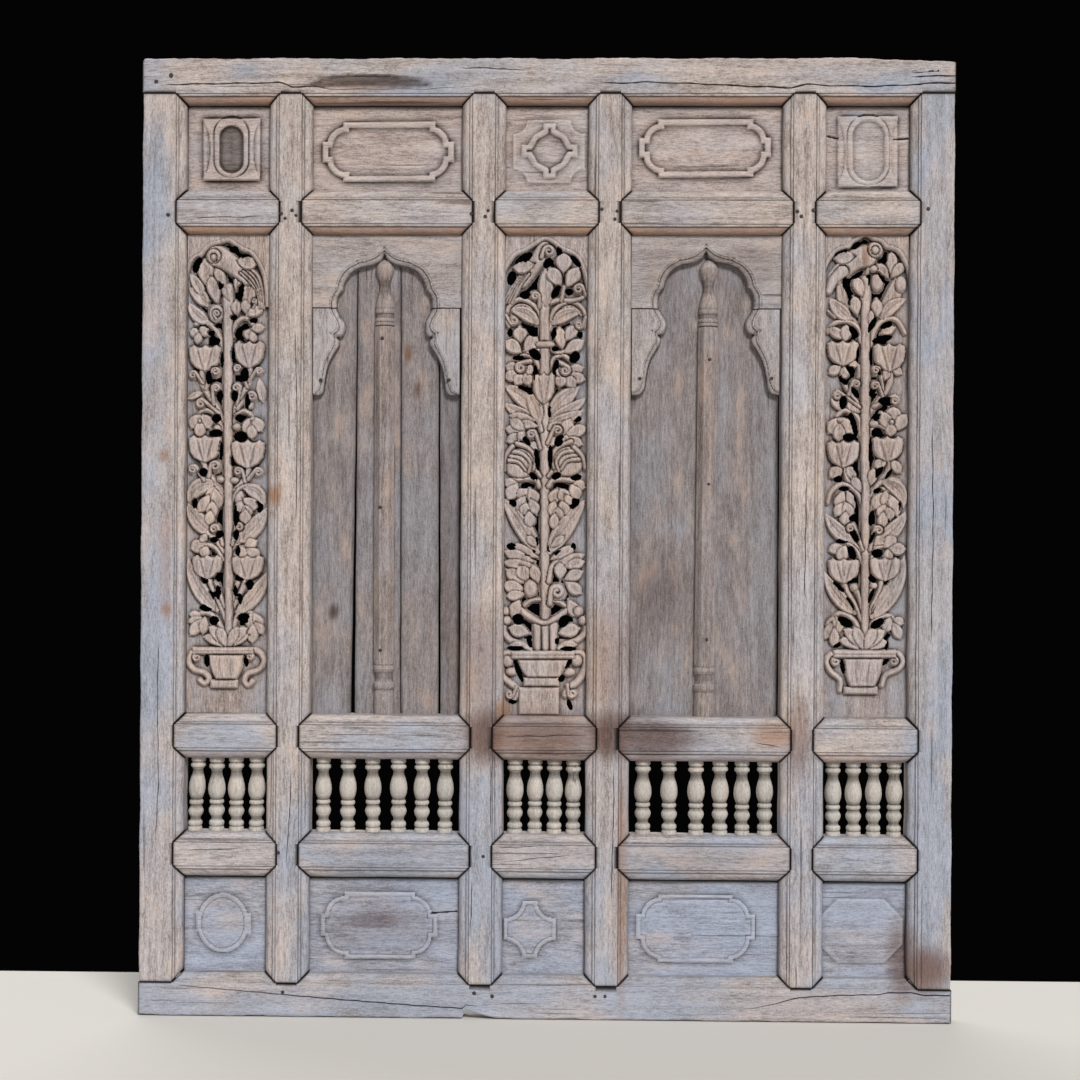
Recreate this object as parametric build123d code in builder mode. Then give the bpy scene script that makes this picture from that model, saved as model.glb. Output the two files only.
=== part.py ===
"""Carved timber window screen: a jointed frame holding carved panels, cusped arches and balusters."""
import os

from build123d import *

os.makedirs("parts", exist_ok=True)

# Frame members, lengths in millimetres
stile_width = 99.0
mullion_width = 96.0
head_rail_height = 103.0
cross_rail_height = 98.0
sill_rail_height = 98.0
frame_thickness = 56.0
# Clear bays between uprights and clear rows between rails
narrow_bay_width = 182.0
wide_bay_width = 331.0
bottom_panel_row = 211.0
baluster_row = 163.0
window_row = 1060.0
top_panel_row = 189.0
# Moulding run round each opening: a rounded edge, a small step and a scored line
moulding_width = 24.0
ovolo_width = 17.0
ovolo_depth = 12.0
step_depth = 3.0
score_width = 2.4
score_depth = 1.8
overcut = 1.0
# Joints
fit_gap = 0.3
groove_depth = 8.0
tenon_thickness = 16.0
tenon_back_cover = 12.0
tenon_length_share = 0.42
tenon_height_share = 0.8
upright_tenon_share = 0.5
# Panels and boards, set back from the face of the frame
panel_setback = 22.0
panel_thickness = 14.0
panel_relief = 5.0
tree_setback = 26.0
tree_thickness = 12.0
tree_relief = 12.0
board_setback = 36.0
board_thickness = 14.0
board_gap = 3.0
# Arch planted on the boards
arch_thickness = 20.0
arch_edge_gap = 0.8
crown_height = 160.0
bracket_height = 196.0
# Half column nailed to the boards
column_width = 42.0
column_depth = 20.0
column_head_clearance = 51.0
column_base_height = 110.0
column_neck_height = 37.0
column_finial_height = 110.0
# Turned balusters
baluster_diameter = 37.4
baluster_setback = 33.0

front = -frame_thickness / 2
back = frame_thickness / 2

# Uprights and bays from left to right
bay_widths = [narrow_bay_width, wide_bay_width, narrow_bay_width, wide_bay_width, narrow_bay_width]
upright_widths = [stile_width, mullion_width, mullion_width, mullion_width, mullion_width, stile_width]
screen_width = sum(bay_widths) + sum(upright_widths)
uprights = []
bays = []
reach = -screen_width / 2
for number, width in enumerate(upright_widths):
    uprights.append((reach, reach + width))
    reach += width
    if number < len(bay_widths):
        bays.append((reach, reach + bay_widths[number]))
        reach += bay_widths[number]

# Rows from the bottom up
rows = []
reach = sill_rail_height
for height in [bottom_panel_row, baluster_row, window_row, top_panel_row]:
    rows.append((reach, reach + height))
    reach += height + cross_rail_height
screen_height = rows[-1][1] + head_rail_height
bottom_row, rail_row, tall_row, top_row = rows

mullion_waist = mullion_width - 2 * moulding_width
tenon_length = mullion_waist * tenon_length_share
tenon_height = (cross_rail_height - 2 * moulding_width) * tenon_height_share
tenon_y = back - tenon_back_cover - tenon_thickness / 2


def moulding_cut(edge, inward):
    """Outline of the wood taken off along one opening edge, drawn across the member and into its depth."""
    curve_share = 0.29
    depth_share = 0.29
    with BuildSketch() as cut:
        with BuildLine():
            Polyline(
                (edge, front + step_depth + ovolo_depth),
                (edge - inward * overcut, front + step_depth + ovolo_depth),
                (edge - inward * overcut, front - overcut),
                (edge + inward * ovolo_width, front - overcut),
                (edge + inward * ovolo_width, front + step_depth),
            )
            ThreePointArc(
                (edge + inward * ovolo_width, front + step_depth),
                (edge + inward * ovolo_width * curve_share, front + step_depth + ovolo_depth * depth_share),
                (edge, front + step_depth + ovolo_depth),
            )
        make_face()
        with BuildLine():
            Polyline(
                (edge + inward * (moulding_width - score_width), front - overcut),
                (edge + inward * moulding_width, front - overcut),
                (edge + inward * moulding_width, front),
                (edge + inward * (moulding_width - score_width / 2), front + score_depth),
                (edge + inward * (moulding_width - score_width), front),
                close=True,
            )
        make_face()
    return cut.sketch


def panel_grooves(bay_numbers, row_list):
    """Grooves that hold the panels and boards round the listed openings."""
    with BuildPart() as grooves:
        for bay_number in bay_numbers:
            for row in row_list:
                left, right = bays[bay_number]
                low, high = row
                wide = bay_number % 2 == 1
                setback, thickness = panel_setback, panel_thickness
                if row == tall_row:
                    setback = board_setback if wide else tree_setback
                    thickness = board_thickness if wide else tree_thickness
                with Locations(((left + right) / 2, front + setback + thickness / 2, (low + high) / 2)):
                    Box(
                        right - left + 2 * groove_depth + 2 * fit_gap,
                        thickness + 2 * fit_gap,
                        high - low + 2 * groove_depth + 2 * fit_gap,
                    )
    return grooves.part


def upright(number):
    """A stile or mullion with mitred seats for the cross rails, mortises and end tenons."""
    left, right = uprights[number]
    low = rows[0][0] - moulding_width
    high = rows[-1][1] + moulding_width
    opens_right = number < len(bays)
    opens_left = number > 0
    waists = [row[1] for row in rows[:-1]]
    sides = []
    for opens, edge, inward in ((opens_right, right, -1), (opens_left, left, 1)):
        side = [(edge, low), (edge, high)]
        if opens:
            side = [(edge + inward * moulding_width, low), (edge, low + moulding_width)]
            for rail_low in waists:
                rail_high = rail_low + cross_rail_height
                side += [
                    (edge, rail_low),
                    (edge + inward * moulding_width, rail_low + moulding_width),
                    (edge + inward * moulding_width, rail_high - moulding_width),
                    (edge, rail_high),
                ]
            side += [(edge, high - moulding_width), (edge + inward * moulding_width, high)]
        sides.append(side)
    neck_left = left + moulding_width * opens_left
    neck_right = right - moulding_width * opens_right
    end_tenon = (head_rail_height - moulding_width) * upright_tenon_share
    with BuildPart() as bar:
        with BuildSketch(Plane.XZ.offset(-back)):
            with BuildLine():
                Polyline(*sides[0], *reversed(sides[1]), close=True)
            make_face()
        extrude(amount=frame_thickness)
        for opens, edge, inward in ((opens_right, right, -1), (opens_left, left, 1)):
            if opens:
                with BuildSketch(Plane.XY.offset(low)):
                    add(moulding_cut(edge, inward))
                extrude(amount=high - low, mode=Mode.SUBTRACT)
                for rail_low in waists:
                    middle = rail_low + cross_rail_height / 2
                    seat = edge + inward * (moulding_width + tenon_length / 2)
                    with Locations((seat, tenon_y, middle)):
                        Box(
                            tenon_length + 2 * fit_gap,
                            tenon_thickness + 2 * fit_gap,
                            tenon_height + 2 * fit_gap,
                            mode=Mode.SUBTRACT,
                        )
        beside = [bay for bay in (number - 1, number) if 0 <= bay < len(bays)]
        add(panel_grooves(beside, (bottom_row, tall_row, top_row)), mode=Mode.SUBTRACT)
        for end in (low - end_tenon / 2, high + end_tenon / 2):
            with Locations(((neck_left + neck_right) / 2, tenon_y, end)):
                Box((neck_right - neck_left) * tenon_height_share, tenon_thickness, end_tenon)
    return bar.part


def cross_rail(bay_number, rail_number):
    """A short rail whose mitred ends run into the uprights, with a stub tenon at each end."""
    left, right = bays[bay_number]
    left, right = left + fit_gap, right - fit_gap
    row_below, row_above = rows[rail_number], rows[rail_number + 1]
    low, high = row_below[1], row_above[0]
    reach_left, reach_right = left - moulding_width, right + moulding_width
    rail_plane = Plane(origin=(reach_right, 0, 0), x_dir=(0, 0, 1), z_dir=(-1, 0, 0))
    with BuildPart() as bar:
        with BuildSketch(Plane.XZ.offset(-back)):
            with BuildLine():
                Polyline(
                    (left, low),
                    (right, low),
                    (reach_right, low + moulding_width),
                    (reach_right, high - moulding_width),
                    (right, high),
                    (left, high),
                    (reach_left, high - moulding_width),
                    (reach_left, low + moulding_width),
                    close=True,
                )
            make_face()
        extrude(amount=frame_thickness)
        for edge, inward in ((low, 1), (high, -1)):
            with BuildSketch(rail_plane):
                add(moulding_cut(edge, inward))
            extrude(amount=reach_right - reach_left, mode=Mode.SUBTRACT)
        beside = [row for row in (row_below, row_above) if row != rail_row]
        add(panel_grooves([bay_number], beside), mode=Mode.SUBTRACT)
        for end in (reach_left - tenon_length / 2 + fit_gap, reach_right + tenon_length / 2 - fit_gap):
            with Locations((end, tenon_y, (low + high) / 2)):
                Box(tenon_length, tenon_thickness, tenon_height)
    return bar.part


def long_rail(outer, inner, inward):
    """The head or sill rail: one full-width beam notched over the ends of the uprights."""
    seat = inner + inward * (moulding_width + fit_gap)
    edge = inner
    line = [(uprights[0][0], outer), (uprights[0][0], seat)]
    for left, right in bays:
        line += [
            (left + fit_gap - moulding_width, seat),
            (left + fit_gap, edge),
            (right - fit_gap, edge),
            (right - fit_gap + moulding_width, seat),
        ]
    line += [(uprights[-1][1], seat), (uprights[-1][1], outer)]
    rail_plane = Plane(origin=(uprights[-1][1], 0, 0), x_dir=(0, 0, 1), z_dir=(-1, 0, 0))
    end_tenon = (head_rail_height - moulding_width) * upright_tenon_share
    with BuildPart() as bar:
        with BuildSketch(Plane.XZ.offset(-back)):
            with BuildLine():
                Polyline(*line, close=True)
            make_face()
        extrude(amount=frame_thickness)
        with BuildSketch(rail_plane):
            add(moulding_cut(edge, inward))
        extrude(amount=screen_width, mode=Mode.SUBTRACT)
        row = bottom_row if inner == bottom_row[0] else top_row
        add(panel_grooves(range(len(bays)), (row,)), mode=Mode.SUBTRACT)
        for number, (left, right) in enumerate(uprights):
            neck_left = left + moulding_width * (number > 0)
            neck_right = right - moulding_width * (number < len(bays))
            with Locations(((neck_left + neck_right) / 2, tenon_y, seat + inward * end_tenon / 2)):
                Box(
                    (neck_right - neck_left) * tenon_height_share + 2 * fit_gap,
                    tenon_thickness + 2 * fit_gap,
                    end_tenon + 2 * fit_gap,
                    mode=Mode.SUBTRACT,
                )
    return bar.part


# Head rail over the whole width
with BuildPart() as head_rail:
    add(long_rail(screen_height, top_row[1], 1))
head_rail.part.label = "head_rail"
export_step(head_rail.part, "parts/head_rail.step")

# Sill rail under the whole width, with a splinter broken from its lower edge
splinter_left = -174.0
splinter_length = 95.0
splinter_depth = 22.0
splinter_run_share = 0.5
splinter_thin_share = 0.3
with BuildPart() as sill_rail:
    add(long_rail(0, bottom_row[0], -1))
    with BuildSketch(Plane.XZ.offset(-back - overcut)):
        with BuildLine():
            Polyline(
                (splinter_left, -overcut),
                (splinter_left, splinter_depth),
                (splinter_left + splinter_length * splinter_run_share, splinter_depth * splinter_thin_share),
                (splinter_left + splinter_length, 0),
                (splinter_left + splinter_length, -overcut),
                close=True,
            )
        make_face()
    extrude(amount=frame_thickness + 2 * overcut, mode=Mode.SUBTRACT)
sill_rail.part.label = "sill_rail"
export_step(sill_rail.part, "parts/sill_rail.step")

# Two outer stiles and the four mullions between the bays
upright_names = ["left_stile", "mullion_1", "mullion_2", "mullion_3", "mullion_4", "right_stile"]
for number, name in enumerate(upright_names):
    with BuildPart() as post:
        add(upright(number))
    post.part.label = name
    export_step(post.part, "parts/" + name + ".step")

# Three rows of cross rails, one rail to a bay
for rail_number, row_name in enumerate(("lower_rail", "middle_rail", "upper_rail")):
    for bay_number in range(len(bays)):
        with BuildPart() as rail:
            add(cross_rail(bay_number, rail_number))
        rail.part.label = row_name + "_" + str(bay_number + 1)
        export_step(rail.part, "parts/" + rail.part.label + ".step")


# Small panels of the top and bottom rows, each with a raised cartouche
cartouche_width_share = 0.88
cartouche_height_share = 0.72
oval_width_share = 0.44
oval_height_share = 0.68
ring_width = 13.0
tab_height_share = 0.3
tab_inset_share = 0.93
corner_share = 0.16
diamond_width_share = 0.6
diamond_height_share = 0.75
diamond_waist_share = 0.45


def cartouche_panel(bay_number, row):
    """A thin panel held in grooves, carrying an oval, a tabbed frame or a four-pointed boss."""
    left, right = bays[bay_number]
    low, high = row
    width, height = right - left, high - low
    face = front + panel_setback
    with BuildPart() as panel:
        with Locations(((left + right) / 2, face + panel_thickness / 2, (low + high) / 2)):
            Box(width + 2 * groove_depth, panel_thickness, height + 2 * groove_depth)
        with BuildSketch(Plane.XZ.offset(-face)):
            with Locations(((left + right) / 2, (low + high) / 2)):
                frame_wide = width * cartouche_width_share
                frame_high = height * cartouche_height_share
                if bay_number % 2 == 1:
                    Rectangle(frame_wide * tab_inset_share, frame_high)
                    with GridLocations(frame_wide * tab_inset_share, frame_high, 2, 2):
                        Circle(frame_high * corner_share, mode=Mode.SUBTRACT)
                    Rectangle(frame_wide, frame_high * tab_height_share)
                    inner_wide = frame_wide * tab_inset_share - 2 * ring_width
                    inner_high = frame_high - 2 * ring_width
                    Rectangle(inner_wide, inner_high, mode=Mode.SUBTRACT)
                    with GridLocations(inner_wide, inner_high, 2, 2):
                        Circle(frame_high * corner_share)
                elif bay_number == 2:
                    across = width * diamond_width_share / 2
                    up = height * diamond_height_share / 2
                    middle, centre = (left + right) / 2, (low + high) / 2
                    with BuildLine():
                        for side, lift in ((1, 1), (-1, 1), (-1, -1), (1, -1)):
                            tip = (middle + side * across, centre)
                            waist_x = middle + side * across * diamond_waist_share
                            waist_z = centre + lift * up * diamond_waist_share
                            ThreePointArc(tip, (waist_x, waist_z), (middle, centre + lift * up))
                    make_face()
                else:
                    Ellipse(width * oval_width_share / 2, height * oval_height_share / 2)
                    Ellipse(
                        width * oval_width_share / 2 - ring_width,
                        height * oval_height_share / 2 - ring_width,
                        mode=Mode.SUBTRACT,
                    )
        extrude(amount=panel_relief)
    return panel.part


for row_name, row in (("bottom_panel", bottom_row), ("top_panel", top_row)):
    for bay_number in range(len(bays)):
        with BuildPart() as panel:
            add(cartouche_panel(bay_number, row))
        panel.part.label = row_name + "_" + str(bay_number + 1)
        export_step(panel.part, "parts/" + panel.part.label + ".step")


# Pierced tree panels as measured on the photo, in pixels: each panel's left, right, top and bottom edge, then
# each hole's centre, half length, half width and the lean of its long axis in degrees
tree_edge_pixels = {0: (185.5, 266.5, 235, 714), 2: (504, 588, 233, 717), 4: (826.5, 911, 233, 718)}
tree_hole_pixels = {
    0: [
        (195, 262, 8, 4.5, 70), (232, 246, 4.5, 3, 0), (246, 256, 6.5, 4, -45), (219, 282, 5, 3, 90),
        (239.5, 288, 9.5, 3, 90), (252, 318, 4, 2.5, 0), (236.5, 331, 6, 3, 80),
        (213.5, 339, 5.5, 3.4, 0), (220, 358, 8, 1.6, 90), (231.5, 353, 8.5, 1.7, 90),
        (206.5, 375, 7.5, 3.2, 90), (243, 373, 7, 4.5, 90), (217.5, 394, 6, 3.3, 90),
        (233, 394, 6, 3.6, 90), (246, 400, 8, 2.8, 90), (214.5, 417, 5, 4.2, 0), (238, 416.5, 5, 3.2, 0),
        (214, 432, 6, 3.6, 0), (239, 435.5, 7, 5, 0), (219, 449, 9, 1.8, 90), (201, 471.5, 4.5, 4, 0),
        (192, 502.5, 5.5, 2.8, 90), (258, 506, 6, 3.8, 90), (218, 516, 6, 2, 90),
        (234, 516, 11.5, 2.8, 90), (217.5, 534, 4, 3.4, 0), (234.5, 535, 5, 3.4, 90),
        (212, 540, 4, 2.6, 0), (236, 551, 5, 2.8, 90), (202, 580.5, 5, 3.2, 0),
        (216, 577.5, 4.5, 2.8, 90), (238, 578, 5, 2.8, 0), (248, 585, 5, 3.8, 90),
        (216, 593, 7, 2.8, 90), (233.5, 591.5, 5.5, 2.3, 90), (208.5, 597.5, 6.5, 3.2, 90),
        (238.5, 599.5, 5.5, 2.4, 90), (204, 608.5, 7, 3.2, 0), (212, 621.5, 5, 4.2, 0),
        (242.5, 619, 6.5, 4.6, 0), (204.5, 662, 6, 3, 90), (244.5, 662.5, 5.5, 2.4, 90),
    ],
    2: [
        (525, 257, 10, 4.5, 35), (513, 276, 7, 4, 80), (526.5, 293, 5, 4, 0), (549.5, 261, 5.5, 3.5, 60),
        (561, 248.5, 5, 2.3, 90), (577.5, 259, 7.5, 2.5, -50), (557.5, 290, 7.5, 3, 60),
        (571, 290, 4, 3.2, 0), (534.5, 331, 5.5, 3.5, -40), (555.5, 332.5, 4.5, 2.3, 90),
        (536.5, 353, 7, 4.2, -50), (520, 356.5, 5.5, 2.2, 0), (576.5, 356, 6, 4.5, 60),
        (537, 372, 8, 1.8, 90), (557.5, 366, 7.5, 2.5, 80), (527, 389, 8, 2.8, -30),
        (540.5, 411, 8, 1.8, 90), (578.5, 418, 4.5, 2.8, 0), (528, 440, 5.5, 2.2, -55),
        (538.5, 458, 12, 1.8, -85), (552, 456, 12, 1.8, 90), (561, 440, 6, 4, 60),
        (535, 476, 5, 2.5, -50), (527, 485, 4.3, 2.3, 15), (558, 475.5, 4.5, 3, 30),
        (578, 477, 5, 2.7, 10), (563, 485, 6.3, 2.2, -12), (514.5, 503, 4, 3, -40),
        (576.5, 503, 6, 3.8, 60), (537, 545, 8, 2, 80), (513, 546.5, 4.5, 3, 0),
        (561, 553.5, 4.3, 2.3, 10), (519.5, 620, 5.5, 5, -45), (565.5, 622, 6, 4.3, 60),
        (531, 643, 5, 2, -75), (517, 649, 8.5, 2, 0), (570, 649.5, 8, 1.8, 0), (520, 672, 12, 2.3, -70),
        (569.5, 665, 6, 2, 50), (571.5, 706, 5.5, 2, -70),
    ],
    4: [
        (859, 244.5, 5.5, 2.5, 40), (844, 252, 7.5, 2.2, 25), (850, 290, 15, 4, -80),
        (861, 274, 5.5, 2, 35), (870.5, 280, 6, 2.6, 80), (884.5, 276, 6.5, 2.5, -65),
        (888, 257, 6, 2, 85), (875, 324, 9, 2.5, 60), (856.5, 331, 6.5, 3.5, -50),
        (889.5, 324.5, 6.5, 2.8, 25), (885, 338.5, 10.5, 3, 15), (860.5, 354, 8, 1.5, 85),
        (874, 356, 9.5, 1.6, 90), (853.5, 369, 5, 3.4, -40), (846, 380, 5.5, 2.6, -50),
        (858, 392, 6.5, 2.8, -55), (876, 390, 6.5, 2.6, 60), (846, 402, 6.5, 3.8, 80),
        (889.5, 401, 8.5, 4, 0), (856.5, 424, 12, 3, -75), (852, 437, 6.5, 3.5, 0),
        (880.5, 417, 4.5, 2.2, 40), (879.5, 432, 5.5, 4, 20), (873.5, 453, 16, 1.7, 90),
        (858.5, 469, 7.5, 2.3, -85), (881.5, 472, 6.5, 2.8, 50), (891.5, 474, 5.5, 1.8, 50),
        (841, 479, 4.5, 2.8, 0), (847, 488.5, 5, 1.9, 0), (858.5, 505, 10, 1.8, -85),
        (856, 518, 4.5, 3, 0), (874, 518, 7.5, 2.7, 80), (902, 506, 6, 1.8, 70), (857, 535, 8, 3, -60),
        (845, 541, 6, 2, 0), (875, 538, 7, 1.7, 65), (855, 553, 7, 3.6, -70), (880, 553.5, 5.5, 4, 0),
        (841.5, 587, 7.5, 2, -40), (855, 581, 5, 2, 20), (875.5, 579.5, 4.5, 2.6, -30),
        (853, 604, 7.5, 2.2, -60), (874, 596, 8, 2, 70), (882, 602, 14, 1.5, 60),
        (848, 622.5, 8.5, 4, -25), (880, 624, 7.5, 4, 30), (845.5, 667, 7.5, 2, -80),
    ],
}
trunk_shares = (0.475, 0.585)
trunk_span_shares = (0.14, 0.9)
trunk_taper_share = 0.4
vase_shares = [(0.3, 0.05), (0.7, 0.05), (0.66, 0.072), (0.76, 0.125), (0.78, 0.14), (0.22, 0.14),
               (0.24, 0.125), (0.34, 0.072)]


def tree_panel(bay_number, centre_share):
    """A board carved with a tree in a vase: pierced ground, raised trunk and vase."""
    left, right = bays[bay_number]
    low, high = tall_row
    width, height = right - left, high - low
    left_edge, right_edge, top_edge, bottom_edge = tree_edge_pixels[bay_number]
    wide_scale = width / (right_edge - left_edge)
    high_scale = height / (bottom_edge - top_edge)
    face = front + tree_setback
    half_trunk = width * (trunk_shares[1] - trunk_shares[0]) / 2
    middle = left + width * centre_share
    with BuildPart() as panel:
        with Locations(((left + right) / 2, face + tree_thickness / 2, (low + high) / 2)):
            Box(width + 2 * groove_depth, tree_thickness, height + 2 * groove_depth)
        with BuildSketch(Plane.XZ.offset(-face)):
            for across, down, half_long, half_wide, lean in tree_hole_pixels[bay_number]:
                place = (left + wide_scale * (across - left_edge), low + high_scale * (bottom_edge - down))
                with Locations(place):
                    Ellipse(wide_scale * half_long, wide_scale * half_wide, rotation=lean)
        extrude(amount=-tree_thickness, mode=Mode.SUBTRACT)
        with BuildSketch(Plane.XZ.offset(-face)):
            with BuildLine():
                Polyline(
                    (middle - half_trunk, low + height * trunk_span_shares[0]),
                    (middle + half_trunk, low + height * trunk_span_shares[0]),
                    (middle + half_trunk * trunk_taper_share, low + height * trunk_span_shares[1]),
                    (middle - half_trunk * trunk_taper_share, low + height * trunk_span_shares[1]),
                    close=True,
                )
            make_face()
            with BuildLine():
                Polyline(*[(left + width * a, low + height * u) for a, u in vase_shares], close=True)
            make_face()
        extrude(amount=tree_relief)
    return panel.part


tree_centre_shares = {0: 0.5, 2: 0.49, 4: 0.48}
for bay_number, centre_share in tree_centre_shares.items():
    with BuildPart() as panel:
        add(tree_panel(bay_number, centre_share))
    panel.part.label = "tree_panel_" + str(bay_number + 1)
    export_step(panel.part, "parts/" + panel.part.label + ".step")

# Backing boards of the wide bays, upright planks with open joints, as shares of the bay width
board_joint_shares = {1: (0.3, 0.6, 0.87), 3: (0.52,)}
for bay_number in (1, 3):
    left, right = bays[bay_number]
    low, high = tall_row
    cuts = [left + share * (right - left) for share in board_joint_shares[bay_number]]
    starts = [left - groove_depth] + [cut + board_gap / 2 for cut in cuts]
    ends = [cut - board_gap / 2 for cut in cuts] + [right + groove_depth]
    with BuildPart() as boards:
        board_y = front + board_setback + board_thickness / 2
        for start, end in zip(starts, ends):
            with Locations(((start + end) / 2, board_y, (low + high) / 2)):
                Box(end - start, board_thickness, high - low + 2 * groove_depth)
    boards.part.label = "backing_boards_" + str(bay_number + 1)
    export_step(boards.part, "parts/" + boards.part.label + ".step")

# Arch shape as shares of half the clear width and of the crown height, from the apex outwards
arch_apex_share = 0.25
ogee_shares = ((0.105, 0.345), (0.29, 0.4))
big_lobe_shares = ((0.46, 0.525), (0.555, 0.715))
small_lobe_shares = ((0.62, 0.84), (0.65, 1.0))
# Bracket shape as shares of half the clear width and of the bracket height, from the crown down
nose_start_shares = (0.555, 0.14)
nose_shares = ((0.525, 0.2), (0.56, 0.275))
notch_shares = (0.65, 0.305)
chin_shares = ((0.605, 0.385), (0.62, 0.47))
throat_shares = ((0.75, 0.62), (0.81, 0.8))
tip_shares = ((0.88, 0.985), (0.985, 0.97))


def arch_crown(bay_number):
    """The board at the head of a wide bay, cut to an ogee with two lobes each side."""
    left, right = bays[bay_number]
    middle, half = (left + right) / 2, (right - left) / 2
    top = tall_row[1] - fit_gap
    bottom = top - crown_height
    face = front + board_setback - arch_thickness

    def at(side, shares):
        return (middle + side * half * shares[0], top - crown_height * shares[1])

    with BuildPart() as crown:
        with BuildSketch(Plane.XZ.offset(-face - arch_thickness)):
            with Locations((middle, (top + bottom) / 2)):
                Rectangle(2 * (half - arch_edge_gap), crown_height)
        extrude(amount=arch_thickness)
        with BuildSketch(Plane.XZ.offset(-face - arch_thickness)):
            with BuildLine():
                for side in (-1, 1):
                    apex = at(side, (0, arch_apex_share))
                    ogee = [at(side, shares) for shares in ogee_shares]
                    big_lobe = [at(side, shares) for shares in big_lobe_shares]
                    small_lobe = [at(side, shares) for shares in small_lobe_shares]
                    ThreePointArc(apex, ogee[0], ogee[1])
                    ThreePointArc(ogee[1], big_lobe[0], big_lobe[1])
                    ThreePointArc(big_lobe[1], small_lobe[0], small_lobe[1])
                Line(at(-1, small_lobe_shares[1]), at(1, small_lobe_shares[1]))
            make_face()
        extrude(amount=arch_thickness, mode=Mode.SUBTRACT)
    return crown.part


def arch_bracket(bay_number, side):
    """A nosed bracket under one end of the crown."""
    left, right = bays[bay_number]
    middle, half = (left + right) / 2, (right - left) / 2
    top = tall_row[1] - crown_height - 2 * fit_gap
    face = front + board_setback - arch_thickness

    def at(shares):
        return (middle + side * half * shares[0], top - bracket_height * shares[1])

    outer = middle + side * (half - arch_edge_gap)
    with BuildPart() as bracket:
        with BuildSketch(Plane.XZ.offset(-face - arch_thickness)):
            with BuildLine():
                Polyline((outer, top), at((small_lobe_shares[1][0], 0)), at(nose_start_shares))
                ThreePointArc(at(nose_start_shares), at(nose_shares[0]), at(nose_shares[1]))
                Line(at(nose_shares[1]), at(notch_shares))
                ThreePointArc(at(notch_shares), at(chin_shares[0]), at(chin_shares[1]))
                ThreePointArc(at(chin_shares[1]), at(throat_shares[0]), at(throat_shares[1]))
                ThreePointArc(at(throat_shares[1]), at(tip_shares[0]), at(tip_shares[1]))
                Polyline(at(tip_shares[1]), (outer, at(tip_shares[1])[1]), (outer, top))
            make_face()
        extrude(amount=arch_thickness)
    return bracket.part


for bay_number in (1, 3):
    with BuildPart() as crown:
        add(arch_crown(bay_number))
    crown.part.label = "arch_crown_" + str(bay_number + 1)
    export_step(crown.part, "parts/" + crown.part.label + ".step")
    with BuildPart() as brackets:
        for side in (-1, 1):
            add(arch_bracket(bay_number, side))
    brackets.part.label = "arch_brackets_" + str(bay_number + 1)
    export_step(brackets.part, "parts/" + brackets.part.label + ".step")

# Half column: radius and height shares of the base, the neck and the finial
base_shares = [(0.98, 0), (0.98, 0.6), (0.8, 0.68), (0.8, 0.76), (1, 0.82), (1, 0.92), (0.86, 1)]
neck_ring_shares = [(0.86, 0), (1, 0.12), (1, 0.3), (0.8, 0.5), (0.8, 0.7), (1, 0.86), (1, 1)]
finial_flare_shares = ((0.98, 0.0), (0.72, 0.2), (0.6, 0.45))
finial_bulb_shares = ((1.0, 0.78), (0.36, 0.97))
shaft_flat_share = 0.5
shaft_side_share = 0.4


def half_column():
    """A faceted half shaft with a turned base, neck rings and a bud-shaped finial."""
    height = window_row - column_head_clearance
    neck_low = height - column_finial_height - column_neck_height
    finial_low = height - column_finial_height
    radius = column_width / 2

    def ring(shares, low, span):
        return [(radius * r, low + span * z) for r, z in shares]

    base = ring(base_shares, 0, column_base_height)
    neck = ring(neck_ring_shares, neck_low, column_neck_height)
    flare = ring(finial_flare_shares, finial_low, column_finial_height)
    bulb = ring(finial_bulb_shares, finial_low, column_finial_height)
    with BuildPart() as column:
        with BuildSketch(Plane.XZ):
            with BuildLine():
                Polyline((0, 0), *base, (0, base[-1][1]), close=True)
            make_face()
            with BuildLine():
                Polyline((0, neck_low), *neck, flare[0])
                ThreePointArc(*flare)
                ThreePointArc(flare[2], bulb[0], bulb[1])
                Polyline(bulb[1], (0, height), (0, neck_low))
            make_face()
        revolve(axis=Axis.Z)
        split(bisect_by=Plane.XZ, keep=Keep.TOP)
        with BuildSketch(Plane.XY.offset(base[-1][1])):
            with BuildLine():
                Polyline(
                    (-radius, 0),
                    (-radius, -column_depth * shaft_side_share),
                    (-radius * shaft_flat_share, -column_depth),
                    (radius * shaft_flat_share, -column_depth),
                    (radius, -column_depth * shaft_side_share),
                    (radius, 0),
                    close=True,
                )
            make_face()
        extrude(amount=neck_low - base[-1][1])
    return column.part


column_shares = {1: 0.5, 3: 0.5}
for bay_number in (1, 3):
    left, right = bays[bay_number]
    column_x = left + (right - left) * column_shares[bay_number]
    with BuildPart() as column:
        with Locations((column_x, front + board_setback, tall_row[0])):
            add(half_column())
    column.part.label = "half_column_" + str(bay_number + 1)
    export_step(column.part, "parts/" + column.part.label + ".step")

# Balusters: radius and height shares, and places along each bay
foot_shares = [(0.94, 0), (0.94, 0.03), (0.78, 0.1), (0.84, 0.11), (0.84, 0.135), (0.72, 0.145)]
neck_shares = ((0.7, 0.19), (0.74, 0.225))
bulb_shares = ((1.0, 0.285), (0.74, 0.345))
collar_shares = [(0.74, 0.375), (0.92, 0.38), (0.92, 0.405), (0.7, 0.41)]
body_shares = ((1.0, 0.58), (0.62, 0.79))
upper_ring_shares = [(0.86, 0.8), (0.86, 0.835), (0.7, 0.845)]
cove_shares = ((0.74, 0.89), (0.92, 0.92))
cap_shares = [(0.94, 0.925), (0.94, 1)]
baluster_place_shares = [
    (0.13, 0.375, 0.615, 0.865),
    (0.085, 0.25, 0.417, 0.59, 0.747, 0.903),
    (0.145, 0.39, 0.625, 0.855),
    (0.095, 0.27, 0.45, 0.61, 0.757, 0.907),
    (0.13, 0.376, 0.62, 0.868),
]


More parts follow.
